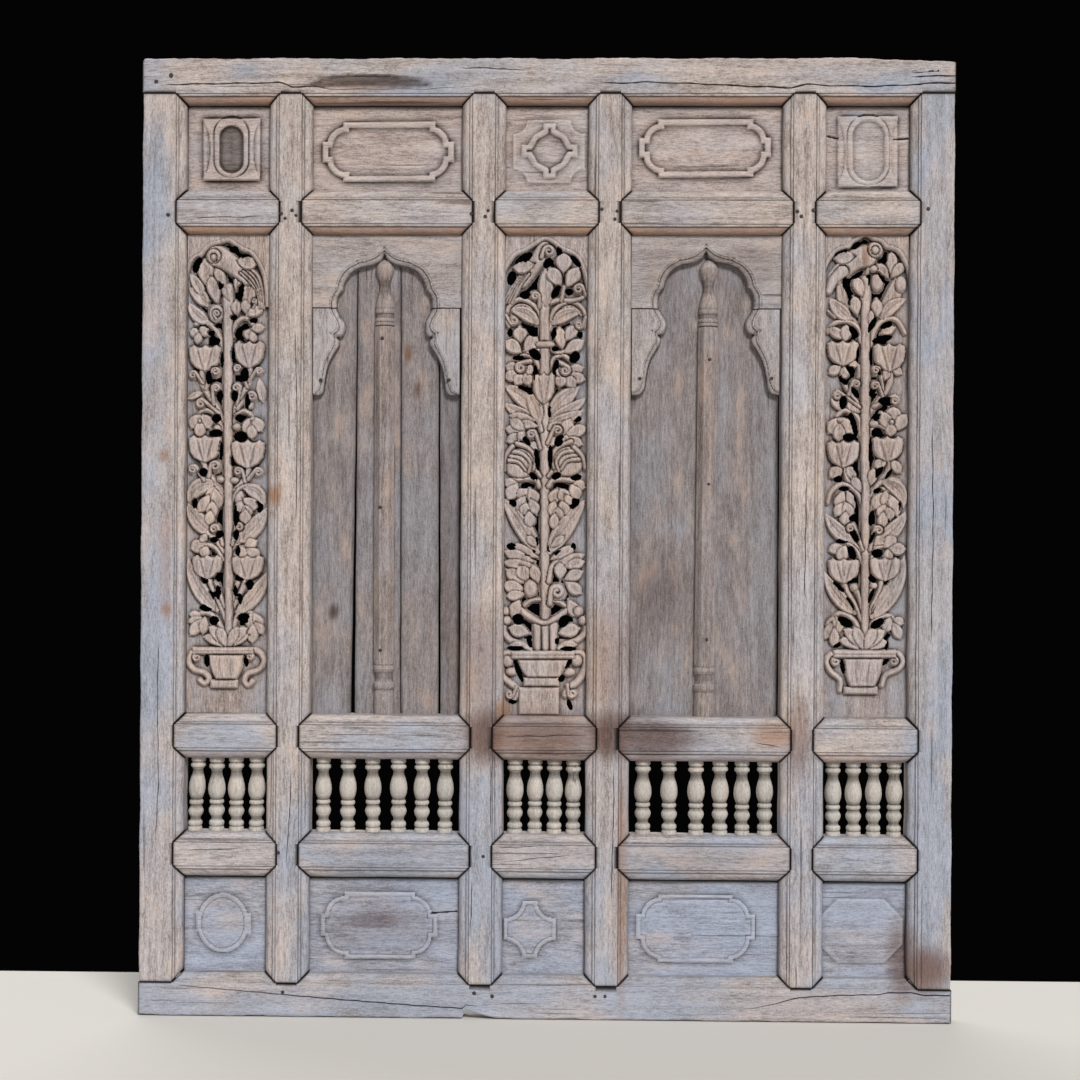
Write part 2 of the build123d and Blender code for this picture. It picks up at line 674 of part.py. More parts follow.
def baluster():
    """A short turned post with a bulb below and a long belly above."""
    radius = baluster_diameter / 2

    def at(shares):
        return (radius * shares[0], baluster_row * shares[1])

    with BuildPart() as post:
        with BuildSketch(Plane.XZ):
            with BuildLine():
                Polyline((0, 0), *[at(s) for s in foot_shares])
                ThreePointArc(at(foot_shares[-1]), at(neck_shares[0]), at(neck_shares[1]))
                ThreePointArc(at(neck_shares[1]), at(bulb_shares[0]), at(bulb_shares[1]))
                Polyline(at(bulb_shares[1]), *[at(s) for s in collar_shares])
                ThreePointArc(at(collar_shares[-1]), at(body_shares[0]), at(body_shares[1]))
                Polyline(at(body_shares[1]), *[at(s) for s in upper_ring_shares])
                ThreePointArc(at(upper_ring_shares[-1]), at(cove_shares[0]), at(cove_shares[1]))
                Polyline(at(cove_shares[1]), *[at(s) for s in cap_shares], (0, baluster_row), (0, 0))
            make_face()
        revolve(axis=Axis.Z)
    return post.part


turned_post = baluster()
for bay_number, shares in enumerate(baluster_place_shares):
    left, right = bays[bay_number]
    with BuildPart() as posts:
        places = [(left + (right - left) * s, front + baluster_setback, rail_row[0]) for s in shares]
        with Locations(*places):
            add(turned_post)
    posts.part.label = "balusters_" + str(bay_number + 1)
    export_step(posts.part, "parts/" + posts.part.label + ".step")
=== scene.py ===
import math

import bpy
import numpy as np
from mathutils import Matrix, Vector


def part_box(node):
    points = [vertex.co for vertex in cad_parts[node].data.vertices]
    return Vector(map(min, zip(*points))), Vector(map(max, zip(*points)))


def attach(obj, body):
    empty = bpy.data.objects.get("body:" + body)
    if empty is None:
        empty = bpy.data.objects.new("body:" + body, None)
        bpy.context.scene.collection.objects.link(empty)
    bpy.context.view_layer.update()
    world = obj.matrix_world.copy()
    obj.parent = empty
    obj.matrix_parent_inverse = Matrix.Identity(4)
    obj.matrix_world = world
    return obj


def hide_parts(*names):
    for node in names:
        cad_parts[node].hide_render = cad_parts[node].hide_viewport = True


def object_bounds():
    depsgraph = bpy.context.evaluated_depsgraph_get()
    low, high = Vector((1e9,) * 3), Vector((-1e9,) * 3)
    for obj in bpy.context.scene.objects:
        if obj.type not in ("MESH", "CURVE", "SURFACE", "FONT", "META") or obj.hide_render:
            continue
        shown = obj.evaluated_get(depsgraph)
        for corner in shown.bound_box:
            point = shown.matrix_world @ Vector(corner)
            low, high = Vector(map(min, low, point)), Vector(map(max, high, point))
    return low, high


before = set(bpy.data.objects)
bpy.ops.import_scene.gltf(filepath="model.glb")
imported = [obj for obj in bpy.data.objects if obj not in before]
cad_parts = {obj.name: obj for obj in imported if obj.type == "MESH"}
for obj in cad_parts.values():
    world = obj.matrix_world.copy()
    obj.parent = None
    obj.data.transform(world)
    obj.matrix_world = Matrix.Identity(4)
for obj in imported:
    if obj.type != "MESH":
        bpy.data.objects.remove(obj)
cad_low, cad_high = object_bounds()
bpy.ops.object.select_all(action="DESELECT")

# Sill rail: the heavy teak beam at the foot of the screen, grey with age and split along its grain.
# Every upright is tenoned into it, and a splinter has broken from its lower edge.
mm = 0.001
front, rear = cad_low.y, cad_high.y
sill_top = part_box("sill_rail")[1].z
upright_names = ["left_stile", "mullion_1", "mullion_2", "mullion_3", "mullion_4", "right_stile"]
upright_sides = [(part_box(name)[0].x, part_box(name)[1].x) for name in upright_names]
bays = [(upright_sides[k][1], upright_sides[k + 1][0]) for k in range(len(upright_sides) - 1)]
rail_rows = ["lower_rail", "middle_rail", "upper_rail"]
rail_boxes = [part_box(row_name + "_1") for row_name in rail_rows]
rail_heights = [(low.z, high.z) for low, high in rail_boxes]
head_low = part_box("head_rail")[0].z
row_feet = [sill_top] + [top for foot, top in rail_heights]
row_tops = [foot for foot, top in rail_heights] + [head_low]
rows = list(zip(row_feet, row_tops))
photo_middle_pixel = (547, 538.5)
photo_pixel_size = 2.197 * mm
photo_roll = 0.0052


def from_photo(across, down):
    """The place on the screen's face, across and up, of a pixel of the photo."""
    right, up = across - photo_middle_pixel[0], photo_middle_pixel[1] - down
    middle = (cad_low.z + cad_high.z) / 2
    return (right - photo_roll * up) * photo_pixel_size, middle + (up + photo_roll * right) * photo_pixel_size


class Shade:
    """A shader socket that takes part in Python sums."""

    def __init__(self, tree, socket=None):
        self.tree = tree
        self.socket = socket

    def node(self, kind, settings=None, inputs=None, output=0):
        """Adds a node: its settings first, then the values or links of its sockets."""
        made = self.tree.nodes.new(kind)
        for key, value in (settings or {}).items():
            if key == "stops":
                while len(made.color_ramp.elements) < len(value):
                    made.color_ramp.elements.new(1)
                for element, (position, colour) in zip(made.color_ramp.elements, value):
                    element.position = position
                    element.color = colour
            else:
                setattr(made, key, value)
        for key, value in (inputs or {}).items():
            if isinstance(value, Shade):
                self.tree.links.new(value.socket, made.inputs[key])
            else:
                made.inputs[key].default_value = value
        return Shade(self.tree, made.outputs[output])

    def maths(self, operation, first, second=0.0):
        return self.node("ShaderNodeMath", {"operation": operation}, {0: first, 1: second})

    def band(self, low, high):
        """Rises softly from 0 to 1 between two values."""
        settings = {"interpolation_type": "SMOOTHSTEP"}
        return self.node("ShaderNodeMapRange", settings, {"Value": self, "From Min": low, "From Max": high})

    def tinted(self, colour, factor, blend="MIX"):
        """This colour taken towards another by a factor."""
        settings = {"data_type": "RGBA", "blend_type": blend, "clamp_factor": True}
        return self.node("ShaderNodeMix", settings, {0: factor, 6: self, 7: colour}, output=2)

    def __add__(self, other):
        return self.maths("ADD", self, other)

    def __sub__(self, other):
        return self.maths("SUBTRACT", self, other)

    def __rsub__(self, other):
        return self.maths("SUBTRACT", other, self)

    def __mul__(self, other):
        return self.maths("MULTIPLY", self, other)


def card(red, green, blue):
    """A colour off a paint card, as the linear light that shaders use."""
    shares = [value / 255 for value in (red, green, blue)]
    return tuple(v / 12.92 if v <= 0.04045 else ((v + 0.055) / 1.055) ** 2.4 for v in shares) + (1.0,)


def weathered_wood(name, upright_grain, pale, body, dark, silver, silver_share, relief=1.0):
    """Old teak gone grey: fibres, streaks and ring figure along the grain, open checks, soiling and stains,
    with shade painted into hollows and highlight painted onto crests.
    """
    material = bpy.data.materials.new(name)
    material.use_nodes = True
    shader = material.node_tree.nodes["Principled BSDF"]
    start = Shade(material.node_tree)
    object_place = start.node("ShaderNodeTexCoord", output="Object")
    shift = start.node("ShaderNodeAttribute", {"attribute_name": "grain_shift"}, output="Fac")
    place = start.node("ShaderNodeVectorMath", {"operation": "ADD"}, {0: object_place, 1: shift})

    def grain_noise(stretch, scale, detail):
        ratio = (1, 1, stretch) if upright_grain else (stretch, 1, 1)
        run = start.node("ShaderNodeMapping", inputs={"Vector": place, "Scale": ratio})
        return start.node("ShaderNodeTexNoise", inputs={"Vector": run, "Scale": scale, "Detail": detail})

    fibre = grain_noise(0.14, 420, 2)
    streak = grain_noise(0.045, 90, 4)
    speckle = grain_noise(0.8, 320, 2)
    mottle = grain_noise(0.4, 30, 4)
    patches = grain_noise(0.45, 9, 5)
    rings = grain_noise(0.09, 9, 2)
    checks = grain_noise(0.02, 150, 1).band(0.66, 0.72) * grain_noise(0.3, 9, 1).band(0.52, 0.62)
    figure = start.maths("SINE", rings * 120) * 0.5 + 0.5
    grain = fibre * 0.36 + speckle * 0.24 + streak * 0.18 + mottle * 0.18 + figure * 0.04
    grain_stops = (0.385, 0.5, 0.615)
    browns = list(zip(grain_stops, (dark, body, pale)))
    colour = start.node("ShaderNodeValToRGB", {"stops": browns}, {"Fac": grain})
    silvers = [tuple(v * share for v in silver[:3]) + (1.0,) for share in (0.62, 1.0, 1.3)]
    grey = start.node("ShaderNodeValToRGB", {"stops": list(zip(grain_stops, silvers))}, {"Fac": grain})
    stain = start.node("ShaderNodeAttribute", {"attribute_name": "stain"}, output="Color")
    stains = [start.node("ShaderNodeSeparateColor", inputs={0: stain}, output=k) for k in range(3)]
    cavity = start.node("ShaderNodeAttribute", {"attribute_name": "cavity"}, output="Fac")
    bleached = patches.band(0.42, 0.62) * silver_share + stains[2] * (patches.band(0.36, 0.6) * 0.5 + 0.75)
    colour = colour.tinted(grey, bleached * (mottle * 0.8 + 0.4))
    colour = colour.tinted(card(204, 168, 140), mottle.band(0.5, 0.7) * (1 - patches).band(0.42, 0.6) * 0.22)
    colour = colour.tinted(card(146, 116, 105), stains[0], "MULTIPLY")
    colour = colour.tinted(card(160, 112, 74), stains[1] * (mottle * 0.9 + 0.3))
    colour = colour.tinted(card(96, 78, 68), checks * 0.6, "MULTIPLY")
    # Painted highlight: below nought the shading attribute takes the colour towards the pale tone, on crests
    # and turned rings.
    colour = colour.tinted(pale, start.maths("MAXIMUM", cavity * -1, 0) * 0.6)
    # Painted shade: above nought it darkens the colour towards deep brown, in hollows, grooves, cracks and
    # along mouldings, with real soiling and dark joints.
    colour = colour.tinted(card(56, 43, 36), start.maths("MAXIMUM", cavity, 0), "MULTIPLY")
    height = fibre * 0.6 + speckle * 0.4 + streak * 0.4 - checks * 0.7
    bump_inputs = {"Strength": 0.5, "Distance": 1.6 * mm * relief, "Height": height}
    bump = start.node("ShaderNodeBump", inputs=bump_inputs)
    roughness = grain * 0.3 + 0.62
    material.node_tree.links.new(colour.socket, shader.inputs["Base Color"])
    material.node_tree.links.new(roughness.socket, shader.inputs["Roughness"])
    material.node_tree.links.new(bump.socket, shader.inputs["Normal"])
    shader.inputs["Specular IOR Level"].default_value = 0.25
    return material


# Stains and weathering on the frame as seen in the photo: pixel place, half width, half height, then the
# red-brown, orange and silver-grey strength
stain_pixels = [
    (490, 735, 26, 30, 0.9, 0, 0), (615, 735, 34, 26, 0.9, 0, 0), (545, 738, 62, 26, 0.75, 0.15, 0),
    (655, 739, 46, 20, 0.85, 0, 0), (775, 735, 22, 14, 0.1, 0.6, 0), (275, 495, 8, 9, 0.1, 1, 0),
    (164, 455, 5, 6, 0.3, 0.7, 0), (166, 610, 5, 8, 0.3, 0.7, 0), (925, 968, 26, 24, 0.85, 0.2, 0),
    (372, 81, 60, 8, 0.5, 0.2, 0), (624, 880, 5, 130, 0.2, 0.5, 0), (800, 740, 12, 40, 0.5, 0.2, 0),
    (150, 520, 22, 480, 0, 0, 0.8), (942, 560, 18, 480, 0, 0, 0.85), (450, 84, 70, 18, 0, 0, 0.5),
    (860, 78, 80, 14, 0, 0, 0.5), (547, 1003, 470, 24, 0, 0, 0.75), (547, 960, 640, 230, 0, 0, 0.55),
    (547, 858, 420, 24, 0, 0, 0.65), (384, 740, 84, 24, 0, 0, 0.5), (222, 740, 50, 24, 0, 0, 0.4),
    (372, 924, 36, 10, 0.6, 0, 0), (245, 70, 34, 8, 0, 0, 0.3), (705, 858, 90, 24, 0, 0, 0.85),
    (384, 928, 60, 30, 0.25, 0, 0), (165, 560, 6, 60, 0.1, 0.3, 0), (480, 660, 26, 60, 0.3, 0.2, 0),
    (612, 660, 26, 60, 0.3, 0.2, 0), (243, 68, 18, 8, 0, 0, 0.9), (640, 80, 30, 8, 0, 0, 0.7),
    (878, 87, 26, 6, 0, 0, 0.9), (936, 560, 30, 500, 0, 0, 0.9), (715, 925, 90, 44, 0, 0, 0.95),
    (384, 858, 70, 18, 0.15, 0, 0), (705, 858, 80, 18, 0.18, 0, 0), (333, 613, 5, 8, 0.9, 0, 0),
    (664, 594, 30, 42, 0.35, 0, 0), (681, 527, 9, 13, 0, 0, 1), (408, 352, 4, 10, 0.8, 0.2, 0),
    (418, 388, 3, 8, 0.8, 0.2, 0), (450, 540, 9, 190, 0.35, 0, 0), (856, 116, 9, 6, 0, 0, 1),
    (665, 270, 30, 30, 0.25, 0, 0), (752, 270, 30, 30, 0.25, 0, 0), (905, 960, 16, 40, 0.7, 0.1, 0),
    (505, 709, 8, 10, 0.1, 0.8, 0), (868, 248, 4, 20, 0.4, 0.5, 0),
]


def stains_at(x, z):
    """The strength of each kind of stain at places on the face."""
    strength = np.zeros(x.shape + (4,))
    for across, down, half_wide, half_high, *kinds in stain_pixels:
        middle_x, middle_z = from_photo(across, down)
        far = ((x - middle_x) / (half_wide * photo_pixel_size)) ** 2
        far = far + ((z - middle_z) / (half_high * photo_pixel_size)) ** 2
        for kind, amount in enumerate(kinds):
            strength[..., kind] = np.maximum(strength[..., kind], amount * np.exp(-far**2))
    strength[..., 3] = 1
    return strength


def dapple(first, second, seed, first_span, second_span):
    """A smooth seeded unevenness between about -1 and 1 over two directions."""
    draw = np.random.default_rng(seed)
    total = np.zeros(np.broadcast(first, second).shape)
    for octave in (1.0, 1.7, 2.9):
        for turn in range(2):
            lean = draw.uniform(-1, 1)
            phase = draw.uniform(0, 2 * math.pi)
            wave = first / first_span * octave + second / second_span * octave * lean
            total = total + np.sin(2 * math.pi * wave + phase) / octave
    return total / 3


def shaped_grid(x, y, z, cavity, seed, bleach=0.0, brown=0.0):
    """A grid moved to the worked face, with its soiling, painted shade and highlight, stains and grain kept
    as attributes; the browner colour and painted shade of down-facing mouldings go into the stains.
    """
    lines, columns = x.shape
    bpy.ops.mesh.primitive_grid_add(x_subdivisions=columns - 1, y_subdivisions=lines - 1, size=1)
    piece = bpy.context.object
    mesh = piece.data
    places = np.stack([x, y, z], axis=-1).reshape(-1, 3)
    mesh.vertices.foreach_set("co", places.ravel())
    mesh.attributes.new("cavity", "FLOAT", "POINT").data.foreach_set("value", cavity.ravel())
    stain = mesh.attributes.new("stain", "FLOAT_COLOR", "POINT")
    strength = stains_at(x, z)
    # Painted shade and a browner colour on down-facing mouldings, put into the red-brown and orange stains.
    strength[..., 0] = np.maximum(strength[..., 0], 0.25 * brown)
    strength[..., 1] = np.maximum(strength[..., 1], 0.7 * brown)
    strength[..., 2] = np.maximum(strength[..., 2], bleach)
    stain.data.foreach_set("color", strength.ravel())
    shift = mesh.attributes.new("grain_shift", "FLOAT", "POINT")
    shift.data.foreach_set("value", np.full(x.size, np.random.default_rng(seed).uniform(0, 40)))
    return piece


def drop_faces(piece, flags):
    """Cuts the flagged faces out of a piece."""
    mesh = piece.data
    mesh.vertices.foreach_set("select", np.zeros(len(mesh.vertices), bool))
    mesh.edges.foreach_set("select", np.zeros(len(mesh.edges), bool))
    mesh.polygons.foreach_set("select", flags.ravel())
    bpy.ops.object.mode_set(mode="EDIT")
    bpy.ops.mesh.select_mode(type="FACE")
    bpy.ops.mesh.delete(type="FACE")
    bpy.ops.object.mode_set(mode="OBJECT")


def close_back(piece, back_place, smooth_angle=35, pierced=False):
    """Gives a worked face its sides and a flat clean back, with every face turned outwards."""
    bpy.ops.object.mode_set(mode="EDIT")
    bpy.ops.mesh.select_mode(type="FACE")
    bpy.ops.mesh.select_all(action="SELECT")
    if pierced:
        bpy.ops.mesh.extrude_region_move(TRANSFORM_OT_translate={"value": (0, mm, 0)})
    else:
        bpy.ops.mesh.region_to_loop()
        bpy.ops.mesh.extrude_edges_move(TRANSFORM_OT_translate={"value": (0, mm, 0)})
    bpy.ops.transform.resize(value=(1, 0, 1), center_override=(0, back_place, 0))
    if pierced:
        bpy.ops.object.vertex_group_assign_new()
    else:
        bpy.ops.mesh.fill(use_beauty=False)
    bpy.ops.mesh.select_all(action="SELECT")
    bpy.ops.mesh.normals_make_consistent(inside=False)
    bpy.ops.object.mode_set(mode="OBJECT")
    if pierced:
        thinner = piece.modifiers.new("thinner_back", "DECIMATE")
        thinner.ratio = 0.62
        thinner.vertex_group = piece.vertex_groups[-1].name
        bpy.ops.object.modifier_apply(modifier=thinner.name)
        piece.vertex_groups.clear()
    mesh = piece.data
    places = np.empty(3 * len(mesh.vertices))
    mesh.vertices.foreach_get("co", places)
    at_back = np.abs(places[1::3] - back_place) < 0.01 * mm
    shade_and_dirt = np.empty(len(mesh.vertices))
    mesh.attributes["cavity"].data.foreach_get("value", shade_and_dirt)
    mesh.attributes["cavity"].data.foreach_set("value", np.where(at_back, 0.1, shade_and_dirt))
    stain = np.empty(4 * len(mesh.vertices))
    mesh.attributes["stain"].data.foreach_get("color", stain)
    mesh.attributes["stain"].data.foreach_set("color", np.where(np.repeat(at_back, 4), 0, stain))
    bpy.ops.object.shade_smooth_by_angle(angle=math.radians(smooth_angle))


def fitted(piece, name, material, slot, *nodes):
    """Names a finished piece, gives it its wood and sets it in the screen in place of its solids."""
    piece.name = name
    piece.data.name = name
    piece.data.materials.clear()
    piece.data.materials.append(material)
    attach(piece, "root")
    if nodes:
        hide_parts(*nodes)


ovolo_width, ovolo_depth, step_depth = 17 * mm, 12 * mm, 3 * mm
score_place, score_half, score_depth = 22.6 * mm, 1.2 * mm, 2 * mm
moulding_lines = mm * np.array([
    0, 0.7, 2.2, 4.5, 7.5, 10.5, 13.5, 15.7, 16.7, 17.4, 19, 20.4, 21.4, 22.6, 23.8, 24.6,
])
plain_edge_lines = np.array([0, 0.8, 2, 4, 7, 11]) * mm
worn_edge = 5 * mm
joint_wear, joint_wear_reach = 3 * mm, 1.9 * mm
joint_line = 2.4 * mm
line_pitch = 11 * mm
lane_pitch = 9 * mm
joint_gap = 1.5 * mm


def moulding_depth(reach):
    """How far a moulded edge lies behind the face, at a reach from the opening."""
    turn = np.clip(1 - reach / ovolo_width, 0, 1)
    ovolo = np.where(reach < ovolo_width, step_depth + ovolo_depth * (1 - np.sqrt(1 - turn**2)), 0)
    return ovolo + score_depth * np.clip(1 - np.abs(reach - score_place) / score_half, 0, 1)


def run_lines(start, stop, pitch):
    """Places along a stretch, close together at both worn ends."""
    ends = np.array([0, 1.2, 3.5]) * mm
    inner = np.linspace(start + 7 * mm, stop - 7 * mm, max(2, round((stop - start) / pitch)))
    return np.concatenate((start + ends, inner, stop - ends[::-1]))


def crack_places(pixels, upright):
    """A crack's pixels as places along and across a bar, with the share that it stands open at each."""
    places = []
    for across, down, *open_share in pixels:
        x, z = from_photo(across, down)
        along, beside = (z, x) if upright else (x, z)
        places.append((along, beside, open_share[0] if open_share else 1.0))
    return sorted(places)


def moulded_bar(upright, ends, sides, openings, moulded, seed, cracks=(), hollows=(), edge_cuts=None,
                moulding_share=1.0, pitch=line_pitch, lanes_pitch=lane_pitch, shaded_brown_under=0.0):
    """A frame member: a flat face with mitred mouldings along its openings, worn joints, cracks and hollows.

    A crack is its places along and across the bar with the share that it stands open, its half width and
    its depth. A hollow is its outline as places with a low and a high side, and its depth. Edge cuts give
    how far a plain edge is worn back along the bar.
    """
    low_side, high_side = sides
    lines, beside = [], []
    reach = ends[0]
    stretches = []
    for opening in openings:
        start, stop = opening[0] - moulding_lines[-1], opening[1] + moulding_lines[-1]
        if start - reach > mm:
            stretches.append((reach, start, None))
        stretches.append((start, stop, opening))
        reach = stop
    if ends[1] - reach > mm:
        stretches.append((reach, ends[1], None))
    for start, stop, opening in stretches:
        places = list(run_lines(start, stop, pitch))
        if lines:
            places = places[1:]
            beside += [opening] * len(places)
        else:
            beside += [opening] * (len(places) - 1)
        lines += places
    along = np.array(lines)
    held = [beside[0]] + [after or before for before, after in zip(beside, beside[1:])] + [beside[-1]]
    in_neck = np.array([opening is None for opening in held])
    middle = np.array([(opening[0] + opening[1]) / 2 if opening else 0 for opening in held])
    half = np.array([(opening[1] - opening[0]) / 2 if opening else 1 for opening in held])

    across, depth, run, mitre, strip, shade_and_dirt, brown = [], [], [], [], [], [], []

    def add_column(place, fall, moved, end_gap, is_strip, grime, shaded_brown_share=0.0):
        ones = np.ones(len(along))
        across.append(place * ones)
        depth.append(fall * ones)
        run.append(moved * ones)
        mitre.append(end_gap * ones)
        strip.append(is_strip)
        shade_and_dirt.append(grime * ones)
        brown.append(shaded_brown_share * ones)

    def add_edge(edge, inward, is_moulded, order):
        if is_moulded:
            for line in moulding_lines[:-1][::order]:
                stretch = (half + line) / (half + moulding_lines[-1])
                moved = np.where(in_neck, along, middle + (along - middle) * stretch)
                gap = np.where(in_neck, 1, (half + line - np.abs(moved - middle)) / math.sqrt(2))
                waver = dapple(along, edge, seed + 3, 0.31, 0.2) * 0.7 * mm * (1 - line / moulding_lines[-1])
                # Painted shade: dark lines where the ovolo steps down from the face and in the scored line,
                # and a dark band along the opening's edge.
                grime = 0.45 * moulding_share * math.exp(-(((line - ovolo_width) / (1.4 * mm)) ** 2))
                grime += 0.38 * moulding_share * math.exp(-(((line - score_place) / (1.3 * mm)) ** 2))
                grime += 0.35 * math.exp(-line / (3 * mm))
                fall = float(moulding_depth(line)) * moulding_share
                # Down-facing moulding: a browner colour that is partly the sheltered wood's own and partly
                # painted shade.
                under = shaded_brown_under * (line < ovolo_width) * (inward > 0)
                add_column(edge + inward * line + waver, fall, moved, gap, True, grime, under)
        else:
            for line in plain_edge_lines[::order]:
                rest = np.clip(1 - line / worn_edge, 0, 1)
                fall = worn_edge * (1 - np.sqrt(1 - rest**2))
                add_column(edge + inward * line, fall, along, 1, False, 0)

    add_edge(low_side, 1, moulded[0], 1)
    lane_start = low_side + (moulding_lines[-1] if moulded[0] else plain_edge_lines[-1] + lanes_pitch)
    lane_stop = high_side - (moulding_lines[-1] if moulded[1] else plain_edge_lines[-1] + lanes_pitch)
    bounds = [(np.full(len(along), lane_start), 0, 0)]
    for points, crack_half, crack_depth in cracks:
        places = np.array(points)
        path = np.interp(along, places[:, 0], places[:, 1])
        path = path + dapple(along, 0 * along, seed + 11, 0.09, 1) * 1.2 * mm
        inside = np.minimum(along - places[0, 0], places[-1, 0] - along)
        open_share = np.clip(inside / (26 * mm), 0, 1) * np.interp(along, places[:, 0], places[:, 2])
        torn = 1 + 0.35 * dapple(along, 0 * along, seed + 5, 0.05, 1)
        width = crack_half * (0.35 + 0.65 * open_share) * torn
        bounds.append((path - width, 0, 0))
        # Painted shade inside the crack, darkest where it stands widest open.
        bounds.append((path, crack_depth * open_share, np.minimum(open_share, 1)))
        bounds.append((path + width, 0, 0))
    bounds.append((np.full(len(along), lane_stop), 0, 0))
    for number, (place, fall, grime) in enumerate(bounds):
        if number:
            last = bounds[number - 1][0]
            count = max(1, round(float(np.mean(place - last)) / lanes_pitch))
            if 1 <= (number - 1) % 3 and number % 3 != 1:
                count = 1
            room = float(np.min(place - last)) > 3 * joint_line
            if room and number == 1 and moulded[0]:
                add_column(last + joint_line, 0, along, 1, False, 0)
            for step in range(1, count):
                add_column(last + (place - last) * step / count, 0, along, 1, False, 0)
            if room and number == len(bounds) - 1 and moulded[1]:
                add_column(place - joint_line, 0, along, 1, False, 0)
        add_column(place, fall, along, 1, False, grime)
    add_edge(high_side, -1, moulded[1], -1)

    across, depth, run = np.array(across), np.array(depth), np.array(run)
    cavity = np.array(shade_and_dirt)
    strip = np.array(strip)
    if edge_cuts is not None:
        low_cut, high_cut = edge_cuts(along)
        share = (across - low_side) / (high_side - low_side)
        across = across + low_cut * (1 - share) ** 3 - high_cut * share**3
    joint = np.minimum(np.array(mitre), np.minimum(run - ends[0], ends[1] - run))
    neck = np.where(in_neck & ~strip[:, None], 0, 1)
    if moulded[0]:
        joint = np.minimum(joint, neck + np.abs(across - lane_start))
    if moulded[1]:
        joint = np.minimum(joint, neck + np.abs(lane_stop - across))
    joint = np.maximum(joint, 0)
    depth = depth + joint_wear * np.exp(-joint / joint_wear_reach)
    cavity = np.maximum(cavity, 1.3 * np.exp(-joint / (1.9 * mm)))
    for points, fall in hollows:
        places, lows, highs = np.array(points).T
        low, high = np.interp(run, places, lows), np.interp(run, places, highs)
        ragged = 1.5 * mm * dapple(run, across, seed + 8, 0.03, 0.02)
        inside = np.minimum(across - low, high - across) + ragged
        inside = np.clip(inside / (3.5 * mm), 0, 1) * ((run > places[0]) & (run < places[-1]))
        torn = 0.75 + 0.3 * dapple(run, across, seed + 9, 0.2, 0.006)
        depth = depth + fall * inside * torn
        cavity = np.maximum(cavity, inside * (0.95 - 0.45 * torn))
    depth = depth + 0.55 * mm * dapple(run, across, seed, 0.4, 0.05)
    depth = depth + 0.25 * mm * dapple(run, across, seed + 1, 0.07, 0.02)
    x, z = (across, run) if upright else (run, across)
    piece = shaped_grid(x.T, (front + np.maximum(depth, 0)).T, z.T, cavity.T, seed, brown=np.array(brown).T)
    gone = np.array([opening is None for opening in beside])[:, None] & (strip[:-1] | strip[1:])[None, :]
    if gone.any():
        drop_faces(piece, gone)
    close_back(piece, rear)
    return piece


frame_tones = {
    "pale": card(206, 194, 188), "body": card(176, 164, 158), "dark": card(132, 116, 107),
    "silver": card(156, 159, 170), "silver_share": 0.55,
}
across_wood = weathered_wood("frame_wood_across", False, **frame_tones)
sill_crack_pixels = [
    (175, 987.5, 0.4), (205, 990, 0.5), (265, 995, 0.7), (330, 1000.5, 1), (390, 1005, 1), (432, 1008, 1),
    (467, 1010, 1), (482, 1010, 0), (745, 1010, 0), (772, 1004.5, 0.6), (800, 997, 1), (840, 994.5, 0.8),
    (880, 993.5, 0.8), (891, 991.5, 1), (912, 991.5, 0.9), (926, 994, 1), (965, 994, 1),
]
splinter_start, splinter_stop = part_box("sill_rail")[0].x + 0.721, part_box("sill_rail")[0].x + 0.816
splinter_depth = 22 * mm
sill_crack_half, sill_crack_depth = 1.8 * mm, 9 * mm


def worn_back(along, wear, span, chips, chip_span, seed):
    """How far an edge is worn back along a bar: long wear, and small chips over it."""
    long_wear = wear * (1 + dapple(along, 0 * along, seed, span, 1))
    return long_wear + chips * dapple(along, 0 * along, seed + 1, chip_span, 1)


def sill_edges(along):
    """How far the sill's lower edge is worn and broken back."""
    share = (along - splinter_start) / (splinter_stop - splinter_start)
    broken = np.where((share > 0) & (share < 1), splinter_depth * np.clip(1 - share, 0, 1) ** 1.6, 0)
    worn = worn_back(along, 1.5 * mm, 0.23, 0.6 * mm, 0.03, 7)
    return np.maximum(worn, broken), 0 * along


sill = moulded_bar(
    upright=False, ends=(cad_low.x, cad_high.x), sides=(cad_low.z, sill_top), openings=bays,
    moulded=(False, True), seed=100,
    cracks=[(crack_places(sill_crack_pixels, False), sill_crack_half, sill_crack_depth)],
    edge_cuts=sill_edges, moulding_share=0.35, pitch=8 * mm, lanes_pitch=7 * mm,
)
fitted(sill, "sill_beam", across_wood, "frame_wood", "sill_rail")

# Uprights: two outer stiles and four mullions of the same teak, moulded along every opening.
# Their moulded edges stop in mitred shoulders where the cross rails are let in.
upright_wood = weathered_wood("frame_wood_upright", True, **frame_tones)
upright_crack_pixels = {
    "left_stile": [[(155, 840), (158, 785), (157, 700), (158, 640)]],
    "mullion_1": [[(287, 865), (291, 805), (292, 770)], [(297, 520), (298, 420), (296, 330)]],
    "mullion_2": [[(472, 935), (474, 880)], [(492, 830), (493, 765)]],
    "mullion_3": [[(613, 900), (616, 800), (615, 770)]],
    "mullion_4": [[(798, 990), (797, 960)], [(806, 600), (808, 480)]],
    "right_stile": [[(932, 640), (934, 520), (933, 430)]],
}
upright_crack_half, upright_crack_depth = 1.0 * mm, 6 * mm


def stile_edges(along):
    """How far the outer edge of a stile is worn back."""
    worn = worn_back(along, 1.6 * mm, 0.37, 0.7 * mm, 0.04, 21)
    return worn, worn


